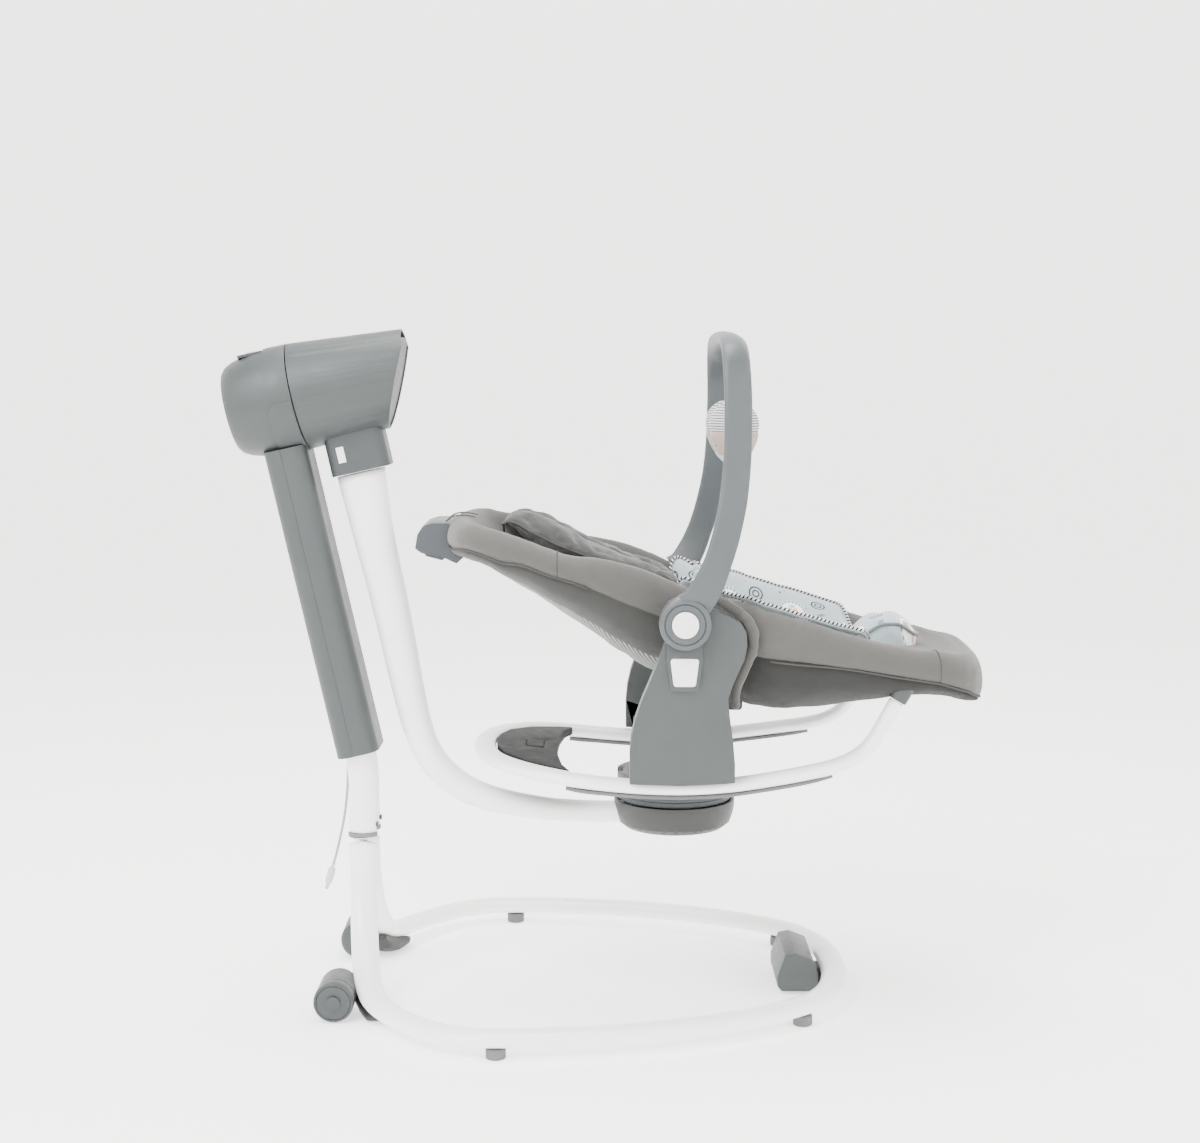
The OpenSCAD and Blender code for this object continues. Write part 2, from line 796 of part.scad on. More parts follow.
pan_side = [[182, 538], [203, 533], [247, 521], [310, 502], [379, 487], [430, 482], [462, 472],
    [486, 458], [497, 444], [500, 431], [499, 418], [490, 408], [474, 405], [436, 413],
    [397, 408], [365, 401], [320, 394], [275, 388], [243, 385], [217, 385], [191, 390],
    [180, 410], [176, 440]];
pan_trough = [[100, 600], [100, 452], [150, 440], [210, 440], [280, 452], [350, 468],
    [410, 462], [455, 448], [466, 454], [466, 600]];

module pan_pad() {
    color(cloth) difference() {
        intersection() {
            slab(-big / 2, big / 2) polygon(pan_side);
            translate([0, 0, 300]) linear_extrude(height = 300) union() {
                translate([290, 0]) rounded(240, 2 * (pad_y + 5), 40);
                translate([410, 0]) rounded(180, 2 * (pad_y - 18), 80);
            }
        }
        slab(-trough_y, trough_y) polygon(pan_trough);
        pan_rails(rail_r + 0.1);
        both_sides() translate([365, 132, 378]) rotate([0, 90 - ferrule_lean, 0])
            linear_extrude(height = 80) rounded(46, 44, 10);
    }
}

module pan_insert() {
    floor_line = [[128, 454], [150, 446], [210, 446], [280, 458], [345, 473.5]];
    color(print) both_sides() slab(0, trough_y - 1) polygon(concat(
        [for (p = floor_line) [p.x, p.y - 5]],
        [for (p = turned(floor_line)) [p.x, p.y + 7]]));
}

module crotch_pad() {
    color(print) slab(-48, 48) polygon([[350, 474], [350, 486], [366, 503], [392, 504],
        [408, 496], [413, 482], [408, 467], [380, 471]]);
}

// Clips that hold the seat cloth to the frame beside the brackets
module cover_clips() {
    color(dark) both_sides() slab(50, 66) translate([173.5, 397]) rounded(20, 18, 5);
}

// --- backrest --------------------------------------------------------------

// Local frame of the backrest: X runs from the pivot to the top rail
module on_back() {
    translate([pivot_x, 0, pivot_z]) rotate([0, 180 + back_rise, 0]) children();
}

module back_rails(r) {
    on_back() translate([0, 0, -back_lift]) rail_u(back_y, back_len, 70, r);
}

module back_frame() {
    color(steel) difference() {
        union() {
            back_rails(rail_r);
            both_sides() rod_y(pivot_x, pivot_z, 26, back_y - 8, back_y + 8);
        }
        both_sides() rod_y(pivot_x, pivot_z, pivot_pin_r + run, 120, 180);
    }
}

back_side = [[84, 566], [47, 582], [22, 590], [-9, 596], [-71, 609], [-103, 620], [-127, 628],
    [-159, 636], [-180, 639], [-197, 635], [-206, 625], [-206, 606], [-190, 592], [-168, 584],
    [-144, 573], [-106, 549], [-54, 514], [-3, 480], [32, 455], [58, 438], [74, 440],
    [84, 455]];
back_slope = 0.651;
function back_floor(x) = 462 - back_slope * (x - 61);

module back_pad() {
    color(cloth) difference() {
        intersection() {
            slab(-pad_y, pad_y) polygon(back_side);
            translate([-60, 0, 300]) linear_extrude(height = 500)
                rounded(292, 2 * pad_y, 60);
        }
        slab(-trough_y, trough_y) polygon([[-182, back_floor(-182)], [100, back_floor(100)],
            [100, 700], [-182, 700]]);
        back_rails(rail_r + 0.1);
        both_sides() rod_y(pivot_x, pivot_z, 31, 128, 200);
        slab(-62, 62) polygon([[-260, 660], [-178, 660], [-178, 570], [-260, 570]]);
    }
}

module back_insert() {
    color(print) slab(1 - trough_y, trough_y - 1) polygon([[-150, back_floor(-150) + 0.5],
        [83, back_floor(83) + 0.5], [83, back_floor(83) + 13], [-150, back_floor(-150) + 13]]);
}

module head_pillow() {
    wing = [[-124, back_floor(-124) + 14], [-128, 628], [-122, 646], [-108, 653], [-90, 652],
        [-53, 642], [0, 626], [53, 604], [76, 592], [76, back_floor(76) + 14]];
    color(cloth) {
        both_sides() slab(70, 114) polygon(wing);
        slab(-70, 70) polygon([[-124, back_floor(-124) + 14], [-124, back_floor(-124) + 44],
            [76, back_floor(76) + 44], [76, back_floor(76) + 14]]);
    }
}

handle_outline = [[-244, 600], [-241, 618], [-234, 629], [-222, 633], [-203, 633], [-180, 626],
    [-179, 590], [-190, 580], [-207, 588], [-223, 592], [-236, 594]];

module recline_handle() {
    color([0.55, 0.6, 0.62]) difference() {
        slab(-58, 58) polygon(handle_outline);
        back_rails(rail_r);
        slab(-42, 42) polygon([[-234, 580], [-234, 606], [-206.5, 606], [-206.5, 580]]);
    }
}

module recline_lever() {
    color(dark) slab(-41, 41) polygon([[-233.6, 591], [-231, 588], [-210, 582.5], [-207, 585],
        [-207, 599], [-233.6, 599]]);
}

// --- toy bar ---------------------------------------------------------------

bar_route = [[pivot_x + 6, 219.5, pivot_z + 20], [118, 223, 552], [131, 226, 575], [141, 226, 600],
    [149, 223, 625], [155, 219, 649], [160, 214, 674], [163, 209, 698], [165, 205, 723],
    [166, 201, 748], [166.5, 193, 796], [165.5, 184, 828], [164.5, 166, 854],
    [164, 132, 868], [164, 80, 874], [164, 0, 875.5]];

module toy_bar() {
    half = curve(bar_route, 2);
    path = concat(half, turned([for (i = [0 : len(half) - 2]) flip_y(half[i])]));
    middle = len(half) - 1;
    color(plastic) {
        skin([for (i = [0 : len(path) - 1]) let (wide = max(0, 6 - min(i, 2 * middle - i)) * 0.8)
            ring(path[i], heading(path, i), [1, 0, 0], bar_w / 2 + wide, bar_t / 2, 20, 0.7)]);
        both_sides() difference() {
            rod_y(pivot_x, pivot_z, hub_r, bracket_out + 0.6, bracket_out + hub_w);
            rod_y(pivot_x, pivot_z, pivot_pin_r + run, bracket_out - 1,
                bracket_out + hub_w - 1.5);
        }
    }
}

module boss_caps() {
    color(white) both_sides()
        rod_y(pivot_x, pivot_z, 16.4, bracket_out + hub_w, bracket_out + hub_w + 4);
}

// Soft toy on a short strap, in front of the middle of the bar
module soft_toy() {
    translate([168, 42, 0]) {
        color(print) translate([0, 0, 748]) rotate_extrude()
            polygon(concat([[0, -44]], [for (a = [-80 : 20 : 80])
                [30 * cos(a) + 2 * cos(2 * a), 44 * sin(a)]], [[0, 44]]));
        color(white) translate([-6, -6, 791]) cube([2.5, 12, 78]);
    }
}

module toy_near() {
    near_side() soft_toy();
}

module toy_far() {
    soft_toy();
}

// --- assembly --------------------------------------------------------------

base_ring();
upper_leg_tubes();
leg_joint_rings();
leg_button_near();
leg_button_far();
leg_cover_front();
leg_cover_rear();
rear_housing();
control_panel();
speed_button();
timer_button();
melody_button();
control_board();
motor();
motor_pinion();
axle_bearings();
wheel_housings();
wheel_axles();
wheel_near();
wheel_far();
feet();
front_block();
lead_grommet();
power_lead();
lead_connector();
front_head();
face_plate();
swing_axle();
sector_gear();
arm_collar();
arm_release_button();
swing_arm();
dock_bowl();
dock_spindle();
turntable();
seat_base();
bouncer_loop();
grip_strips();
rear_panel();
seat_release_button();
loop_ferrules();
seat_brackets();
pivot_pins();
pan_frame();
pan_pad();
pan_insert();
crotch_pad();
cover_clips();
back_frame();
back_pad();
back_insert();
head_pillow();
recline_handle();
recline_lever();
toy_bar();
boss_caps();
toy_button_near();
toy_button_far();
toy_near();
toy_far();
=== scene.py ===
"""Looks of the baby swing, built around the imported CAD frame. Metres, +X to the foot end, +Z up."""
import json
import math

import bmesh
import bpy
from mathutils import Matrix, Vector, kdtree, noise


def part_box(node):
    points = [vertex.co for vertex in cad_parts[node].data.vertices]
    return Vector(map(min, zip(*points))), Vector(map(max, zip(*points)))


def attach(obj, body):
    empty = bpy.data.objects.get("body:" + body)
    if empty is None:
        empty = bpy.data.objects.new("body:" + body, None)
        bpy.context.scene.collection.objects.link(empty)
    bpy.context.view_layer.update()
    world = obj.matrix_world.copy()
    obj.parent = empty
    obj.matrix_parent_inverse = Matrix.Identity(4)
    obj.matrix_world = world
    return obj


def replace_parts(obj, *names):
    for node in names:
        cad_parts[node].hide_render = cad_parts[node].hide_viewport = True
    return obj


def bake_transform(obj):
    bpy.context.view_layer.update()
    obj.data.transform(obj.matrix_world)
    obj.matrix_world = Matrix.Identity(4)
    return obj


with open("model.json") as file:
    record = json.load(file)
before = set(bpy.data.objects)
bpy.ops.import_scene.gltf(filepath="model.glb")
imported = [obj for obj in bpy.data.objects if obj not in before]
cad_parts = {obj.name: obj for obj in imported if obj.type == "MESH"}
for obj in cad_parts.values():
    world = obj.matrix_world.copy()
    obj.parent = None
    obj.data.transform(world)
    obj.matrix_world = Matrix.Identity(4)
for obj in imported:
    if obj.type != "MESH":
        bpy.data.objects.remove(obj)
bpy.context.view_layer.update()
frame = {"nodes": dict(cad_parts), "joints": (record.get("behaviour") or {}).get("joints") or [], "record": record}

JOINTS = {joint["name"]: joint for joint in frame["joints"]}
PIVOT = Vector(JOINTS["recline"]["pos_m"])
MM = 0.001
LABEL = {-1: "near", 1: "far"}


# --- numbers and curves ------------------------------------------------------

def mix(a, b, t):
    return a + (b - a) * t


def smooth(t):
    t = min(max(t, 0.0), 1.0)
    return t * t * (3 - 2 * t)


def bump(x, centre, width):
    return math.exp(-((x - centre) / width) ** 2)


def spline(values, i, f):
    """Catmull-Rom value between values[i] and values[i + 1]."""
    a, b, c, d = (values[min(max(k, 0), len(values) - 1)] for k in (i - 1, i, i + 1, i + 2))
    return 0.5 * (2 * b + (c - a) * f + (2 * a - 5 * b + 4 * c - d) * f * f
                  + (3 * b - 3 * c + d - a) * f ** 3)


def catmull(points, t):
    """Point on the smooth curve through points, t from 0 to 1."""
    last = len(points) - 1
    place = min(max(t, 0.0), 1.0) * last
    i = min(int(place), last - 1)
    return spline(points, i, place - i)


def curve(points, steps):
    return [catmull(points, k / steps) for k in range(steps + 1)]


def profile(points):
    """Smooth function of x through (x, value) pairs."""
    xs, values = zip(*points)

    def value(x):
        x = min(max(x, xs[0]), xs[-1])
        i = max(k for k in range(len(xs)) if xs[k] <= x)
        i = min(i, len(xs) - 2)
        return spline(values, i, (x - xs[i]) / (xs[i + 1] - xs[i]))
    return value


# --- mesh building -----------------------------------------------------------

BODY_OF = {node: body for body, nodes in frame["record"]["behaviour"]["bodies"].items()
           for node in nodes}
SLOT_OF = {part["node"]: part["material_slot"] for part in frame["record"]["subparts"]}


def new_object(name, mesh, material):
    piece = bpy.data.objects.new(name, mesh)
    bpy.context.scene.collection.objects.link(piece)
    if material:
        piece.data.materials.clear()
        piece.data.materials.append(material)
    return piece


def shade_smooth(piece):
    for polygon in piece.data.polygons:
        polygon.use_smooth = True


def apply_modifiers(piece):
    graph = bpy.context.evaluated_depsgraph_get()
    mesh = bpy.data.meshes.new_from_object(piece.evaluated_get(graph))
    piece.modifiers.clear()
    piece.data = mesh
    piece.data.name = piece.name


def subdivide(piece, levels=1):
    modifier = piece.modifiers.new("subdivide", "SUBSURF")
    modifier.levels = levels
    modifier.render_levels = levels
    apply_modifiers(piece)
    shade_smooth(piece)


def close_holes(piece):
    mesh = bmesh.new()
    mesh.from_mesh(piece.data)
    bmesh.ops.holes_fill(mesh, edges=[edge for edge in mesh.edges if edge.is_boundary])
    bmesh.ops.recalc_face_normals(mesh, faces=mesh.faces)
    mesh.to_mesh(piece.data)
    mesh.free()


def grid_mesh(name, rows, uvs, material, close_rows=False, close_ends=False, merge=0.0):
    """Skin through rows of points. close_rows joins each row's end to its start."""
    count = len(rows[0])
    mesh = bmesh.new()
    layer = mesh.loops.layers.uv.new("cloth")
    verts = [[mesh.verts.new(p) for p in row] for row in rows]
    across = count if close_rows else count - 1
    for i in range(len(rows) - 1):
        for k in range(across):
            j = (k + 1) % count
            face = mesh.faces.new((verts[i][k], verts[i + 1][k], verts[i + 1][j], verts[i][j]))
            face.smooth = True
            corners = ((i, k), (i + 1, k), (i + 1, k + 1), (i, k + 1))
            for loop, (a, b) in zip(face.loops, corners):
                loop[layer].uv = uvs(a, b)
    if close_ends:
        for row in (verts[0], verts[-1]):
            mesh.faces.new(row)
    if merge:
        bmesh.ops.remove_doubles(mesh, verts=mesh.verts, dist=merge)
        bmesh.ops.dissolve_degenerate(mesh, edges=mesh.edges, dist=merge)
    bmesh.ops.recalc_face_normals(mesh, faces=mesh.faces)
    data = bpy.data.meshes.new(name)
    mesh.to_mesh(data)
    mesh.free()
    return new_object(name, data, material)


def frames_along(points, start_side):
    """Tangent and side vectors along a path, turning as little as possible."""
    frames = []
    side = Vector(start_side)
    for i in range(len(points)):
        ahead = points[min(i + 1, len(points) - 1)]
        behind = points[max(i - 1, 0)]
        tangent = (ahead - behind).normalized()
        side = (side - tangent * side.dot(tangent)).normalized()
        frames.append((tangent, side, tangent.cross(side)))
    return frames


def sweep(name, points, section, material, side=(0, 1, 0)):
    """Skin of section(i, angle) -> (side, up) offsets along a path of points."""
    sides = 24
    frames = frames_along(points, side)
    rows = []
    length = [0.0]
    for i, point in enumerate(points):
        if i:
            length.append(length[-1] + (point - points[i - 1]).length)
        row = []
        for k in range(sides):
            a, b = section(i, 2 * math.pi * k / sides)
            row.append(point + frames[i][1] * a + frames[i][2] * b)
        rows.append(row)
    return grid_mesh(name, rows, lambda i, k: (length[i], k / sides), material,
                     close_rows=True, close_ends=True)


def oval(wide, tall, angle, wide_power=1.0, tall_power=1.0):
    """Point on an oval; powers under 1 square it off."""
    a, b = math.cos(angle), math.sin(angle)
    return (wide * math.copysign(abs(a) ** wide_power, a),
            tall * math.copysign(abs(b) ** tall_power, b))


def round_sweep(name, points, radius, material, side=(0, 1, 0)):
    return sweep(name, points, lambda i, angle: oval(radius, radius, angle), material, side)


def lathe(name, outline, centre, axis, material, steps=64):
    """Turned piece: outline is (distance along the axis, radius) pairs."""
    turn = Vector((0, 0, 1)).rotation_difference(Vector(axis)).to_matrix()
    rows = []
    for k in range(steps + 1):
        angle = 2 * math.pi * k / steps
        ray = Vector((math.cos(angle), math.sin(angle), 0))
        rows.append([Vector(centre) + turn @ (ray * r + Vector((0, 0, h))) for h, r in outline])
    piece = grid_mesh(name, rows, lambda i, k: (i / steps, outline[k][0]), material, merge=1e-6)
    sharpen(piece, 40)
    return piece


def sharpen(piece, degrees):
    """Smooth shading with hard edges where faces meet at more than an angle."""
    piece.data.shade_smooth()
    piece.data.set_sharp_from_angle(angle=math.radians(degrees))


def merged_copy(node, tidy=None):
    """A CAD part's mesh in a new object, its split points joined."""
    source = frame["nodes"][node]
    piece = new_object(node + "_skin", source.data.copy(), None)
    mesh = bmesh.new()
    mesh.from_mesh(piece.data)
    bmesh.ops.remove_doubles(mesh, verts=mesh.verts, dist=2e-6)
    if tidy:
        tidy(mesh)
    mesh.to_mesh(piece.data)
    mesh.free()
    return piece


def stand_in(piece, node, material):
    """Makes a piece the finished look of a CAD node."""
    piece.data.materials.clear()
    piece.data.materials.append(material)
    sharpen(piece, 50)
    mount(piece, BODY_OF[node], SLOT_OF[node], node)
    return piece


def mount(piece, body, slot, *nodes, fill=None):
    """Hangs a piece on the body that carries it and hides the CAD nodes it stands for. The slot and fill arguments
    are not used.
    """
    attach(piece, body)
    if nodes:
        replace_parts(piece, *nodes)


def bevel_edges(piece, width, degrees=32):
    bevel = piece.modifiers.new("round", "BEVEL")
    bevel.width = width
    bevel.segments = 3
    bevel.limit_method = "ANGLE"
    bevel.angle_limit = math.radians(degrees)
    apply_modifiers(piece)


def rounded_copy(node, material, width):
    """A CAD part's skin with its edges rounded over."""
    def flatten(mesh):
        bmesh.ops.dissolve_limit(mesh, angle_limit=math.radians(1.0), verts=mesh.verts,
                                 edges=mesh.edges)
    piece = merged_copy(node, flatten)
    bevel_edges(piece, width)
    return stand_in(piece, node, material)


def smooth_tube(node, material):
    """A CAD tube with its facets smoothed by subdivision, its end rims kept sharp."""
    def quads(mesh):
        bmesh.ops.join_triangles(mesh, faces=mesh.faces, angle_face_threshold=math.radians(40),
                                 angle_shape_threshold=math.radians(180))
        crease = mesh.edges.layers.float.new("crease_edge")
        for edge in mesh.edges:
            if len(edge.link_faces) == 2 and edge.calc_face_angle(0) > math.radians(60):
                edge[crease] = 1.0
    piece = merged_copy(node, quads)
    subdivide(piece, 2)
    return stand_in(piece, node, material)


# --- camera, light and floor -------------------------------------------------

CAMERA_PLACE = (-0.003, -2.65, 0.857)
CAMERA_DROP = 6.32      # degrees that it looks down from level
FLOOR_R = 4.5           # radius of the flat floor
BEND_R = 3              # curve from the floor up to the wall
WALL_TOP = 7


def make_camera():
    data = bpy.data.cameras.new("camera")
    data.lens = 60
    data.sensor_width = 36
    camera = bpy.data.objects.new("camera", data)
    bpy.context.scene.collection.objects.link(camera)
    camera.location = CAMERA_PLACE
    camera.rotation_euler = (math.radians(90 - CAMERA_DROP), 0, 0)
    bpy.context.scene.camera = camera


def area_light(name, position, target, size, power):
    data = bpy.data.lights.new(name, "AREA")
    data.shape = "RECTANGLE"
    data.size, data.size_y = size
    data.energy = power
    light = bpy.data.objects.new(name, data)
    bpy.context.scene.collection.objects.link(light)
    light.location = position
    aim = Vector(target) - Vector(position)
    light.rotation_euler = aim.to_track_quat("-Z", "Y").to_euler()


def make_stage():
    material, _, shader = new_material("stage", (0.9, 0.9, 0.89), 0.9)
    shader.inputs["Specular IOR Level"].default_value = 0.0
    shader.inputs["Emission Color"].default_value = (1, 0.99, 0.98, 1)
    shader.inputs["Emission Strength"].default_value = 1.25
    bend = [math.radians(9 * j) for j in range(1, 11)]
    line = [(0, 0), (FLOOR_R, 0)]
    line += [(FLOOR_R + math.sin(a) * BEND_R, BEND_R - math.cos(a) * BEND_R) for a in bend]
    line.append((FLOOR_R + BEND_R, WALL_TOP))
    rows = []
    for k in range(49):
        angle = 2 * math.pi * k / 48
        rows.append([Vector((math.cos(angle) * r, math.sin(angle) * r, z)) for r, z in line])
    floor = grid_mesh("floor", rows, lambda i, k: (i, k), material, merge=1e-4)
    world = bpy.data.worlds.new("world")
    world.use_nodes = True
    background = world.node_tree.nodes["Background"]
    background.inputs["Color"].default_value = (1, 1, 1, 1)
    background.inputs["Strength"].default_value = 0.6
    bpy.context.scene.world = world
    area_light("key", (-1.6, -2.2, 3.2), (0, 0, 0.45), (1.8, 1.8), 210)
    area_light("fill", (2.6, -1.6, 1.8), (0, 0, 0.5), (2.0, 2.0), 24)
    area_light("top", (0, 0.4, 3.4), (0, 0, 0.4), (2.2, 2.2), 190)


# --- materials ---------------------------------------------------------------

def new_material(name, color, roughness):
    material = bpy.data.materials.new(name)
    material.use_nodes = True
    shader = material.node_tree.nodes["Principled BSDF"]
    shader.inputs["Base Color"].default_value = (*color, 1)
    shader.inputs["Roughness"].default_value = roughness
    return material, Nodes(material.node_tree), shader


class Nodes:
    """Short calls that add and link shader nodes in one material."""

    def __init__(self, tree):
        self.tree = tree

    def add(self, kind, values=None, **settings):
        node = self.tree.nodes.new(kind)
        for key, value in settings.items():
            setattr(node, key, value)
        for key, value in (values or {}).items():
            if isinstance(value, bpy.types.NodeSocket):
                self.tree.links.new(value, node.inputs[key])
            else:
                node.inputs[key].default_value = value
        return node

    def math(self, operation, a, b=0.0, c=0.0):
        node = self.tree.nodes.new("ShaderNodeMath")
        node.operation = operation
        for socket, value in zip(node.inputs, (a, b, c)):
            if isinstance(value, bpy.types.NodeSocket):
                self.tree.links.new(value, socket)
            else:
                socket.default_value = value
        return node.outputs[0]

    def place(self, kind="Object"):
        return self.add("ShaderNodeTexCoord").outputs[kind]

    def noise(self, vector, scale, detail=2.0, roughness=0.5):
        node = self.add("ShaderNodeTexNoise", {"Vector": vector, "Scale": scale,
                                               "Detail": detail, "Roughness": roughness})
        return node.outputs["Fac"]

    def ramp(self, factor, low, high, out_low, out_high):
        node = self.add("ShaderNodeMapRange", {"Value": factor, "From Min": low,
                                               "From Max": high, "To Min": out_low,
                                               "To Max": out_high})
        return node.outputs["Result"]

    def tint(self, factor, a, b):
        node = self.add("ShaderNodeMix", data_type="RGBA")
        for socket, value in ((node.inputs[0], factor), (node.inputs[6], a), (node.inputs[7], b)):
            if isinstance(value, bpy.types.NodeSocket):
                self.tree.links.new(value, socket)
            elif isinstance(value, tuple):
                socket.default_value = (*value, 1)
            else:
                socket.default_value = value
        return node.outputs[2]

    def link(self, output, socket):
        self.tree.links.new(output, socket)

    def bumps(self, shader, height, strength, distance, normal=None):
        values = {"Height": height, "Strength": strength, "Distance": distance}
        if normal is not None:
            values["Normal"] = normal
        node = self.add("ShaderNodeBump", values)
        self.link(node.outputs[0], shader.inputs["Normal"])
        return node.outputs[0]


def plastic(name, color, roughness=0.46, grain=0.25, coat=0.0, specular=0.38):
    """Moulded plastic: fine spark grain, faint clouding, scuffs that change the gloss."""
    material, n, shader = new_material(name, color, roughness)
    place = n.place()
    cloud = n.noise(place, 14, 3)
    shade = tuple(c * 0.93 for c in color)
    n.link(n.tint(cloud, shade, tuple(min(1, c * 1.05) for c in color)),
           shader.inputs["Base Color"])
    scuff = n.noise(place, 60, 4, 0.7)
    n.link(n.ramp(scuff, 0.3, 0.75, roughness - 0.05, roughness + 0.09),
           shader.inputs["Roughness"])
    n.bumps(shader, n.noise(place, 1100, 2), grain, 0.12 * MM)
    shader.inputs["Coat Weight"].default_value = coat
    shader.inputs["Specular IOR Level"].default_value = specular
    return material


def painted(name, color, roughness):
    """Powder-coated tube: soft orange peel and a light clear layer."""
    material, n, shader = new_material(name, color, roughness)
    place = n.place()
    n.link(n.tint(n.noise(place, 9, 2), tuple(c * 0.975 for c in color), color),
           shader.inputs["Base Color"])
    n.link(n.ramp(n.noise(place, 45, 3), 0.3, 0.7, roughness - 0.03, roughness + 0.05),
           shader.inputs["Roughness"])
    n.bumps(shader, n.noise(place, 420, 2), 0.12, 0.1 * MM)
    shader.inputs["Coat Weight"].default_value = 0.25
    shader.inputs["Coat Roughness"].default_value = 0.2
    return material


def metal(name, color, roughness):
    material, n, shader = new_material(name, color, roughness)
    shader.inputs["Metallic"].default_value = 1.0
    n.link(n.ramp(n.noise(n.place(), 200, 3), 0.3, 0.7, roughness - 0.06, roughness + 0.1),
           shader.inputs["Roughness"])
    return material


def weave(n, uv, pitch):
    """Height of a plain weave: threads run both ways and pass over each other."""
    split = n.add("ShaderNodeSeparateXYZ", {"Vector": uv})
    turn = math.pi / pitch
    across = n.math("SINE", n.math("MULTIPLY", split.outputs[0], turn))
    along = n.math("SINE", n.math("MULTIPLY", split.outputs[1], turn))
    checker = n.math("MULTIPLY", across, along)
    return n.math("ABSOLUTE", checker)


def cloth(name, color, dark, pitch=0.7 * MM, sheen=0.25):
    """Woven cover cloth with a soft sheen, thread relief, melange flecks and painted shade in the pits of the
    weave.
    """
    material, n, shader = new_material(name, color, 0.88)
    uv = n.place("UV")
    place = n.place()
    height = weave(n, uv, pitch)
    fleck = n.noise(place, 900, 2, 0.6)
    wide = n.noise(place, 11, 3)
    base = n.tint(n.ramp(wide, 0.35, 0.65, 0, 1), color, tuple(c * 0.94 for c in color))
    threads = n.tint(n.ramp(fleck, 0.4, 0.65, 0, 0.55), base, dark)
    # painted shade: the low pits between the threads are tinted towards the dark colour
    painted_pit_shade = n.tint(n.ramp(height, 0.0, 0.35, 0.4, 0.0), threads, dark)
    n.link(painted_pit_shade, shader.inputs["Base Color"])
    folds = n.noise(place, 38, 3, 0.55)
    soft = n.bumps(shader, folds, 0.5, 1.8 * MM)
    n.bumps(shader, height, 0.5, 0.22 * MM, soft)
    shader.inputs["Sheen Weight"].default_value = sheen
    shader.inputs["Sheen Roughness"].default_value = 0.5
    shader.inputs["Specular IOR Level"].default_value = 0.25
    return material


def mesh_cloth(name, color, light):
    """Open spacer mesh with oblique pale ribs and painted shade in its sunken holes."""
    material, n, shader = new_material(name, color, 0.85)
    split = n.add("ShaderNodeSeparateXYZ", {"Vector": n.place("UV")})
    slant = n.math("ADD", split.outputs[0], n.math("MULTIPLY", split.outputs[1], 0.45))
    rib = n.math("SINE", n.math("MULTIPLY", slant, 2 * math.pi / (7.5 * MM)))
    breakup = n.noise(n.place(), 130, 2)
    line = n.ramp(n.math("ADD", rib, n.math("MULTIPLY", breakup, 0.8)), 0.75, 1.15, 0, 1)
    holes = n.add("ShaderNodeTexVoronoi", {"Vector": n.place("UV"), "Scale": 620.0})
    dots = n.ramp(holes.outputs["Distance"], 0.25, 0.5, 0.45, 0.0)
    # painted shade: the sunken holes of the mesh are tinted darker
    base = n.tint(dots, color, tuple(c * 0.45 for c in color))
    n.link(n.tint(line, base, light), shader.inputs["Base Color"])
    n.bumps(shader, n.math("SUBTRACT", line, dots), 0.6, 0.6 * MM)
    shader.inputs["Sheen Weight"].default_value = 0.2
    return material


def ring_mark(n, u, v, centre, radius, width):
    """1 on a drawn ring about a point of the cloth, 0 elsewhere."""
    dx = n.math("SUBTRACT", u, centre[0])
    dy = n.math("SUBTRACT", v, centre[1])
    far = n.math("SQRT", n.math("ADD", n.math("MULTIPLY", dx, dx), n.math("MULTIPLY", dy, dy)))
    off = n.math("ABSOLUTE", n.math("SUBTRACT", far, radius))
    return n.ramp(off, width * 0.8, width * 1.3, 1, 0)


def disc_mark(n, u, v, centre, radius):
    return ring_mark(n, u, v, centre, 0.0, radius)


def leaf_mark(n, u, v, centre, length, slant):
    """A pointed leaf: the overlap of two discs either side of its midrib."""
    offset = length * 0.75
    r = math.hypot(offset, length)
    side = (math.cos(slant) * offset, math.sin(slant) * offset)
    first = disc_mark(n, u, v, (centre[0] + side[0], centre[1] + side[1]), r)
    second = disc_mark(n, u, v, (centre[0] - side[0], centre[1] - side[1]), r)
    return n.math("MULTIPLY", first, second)


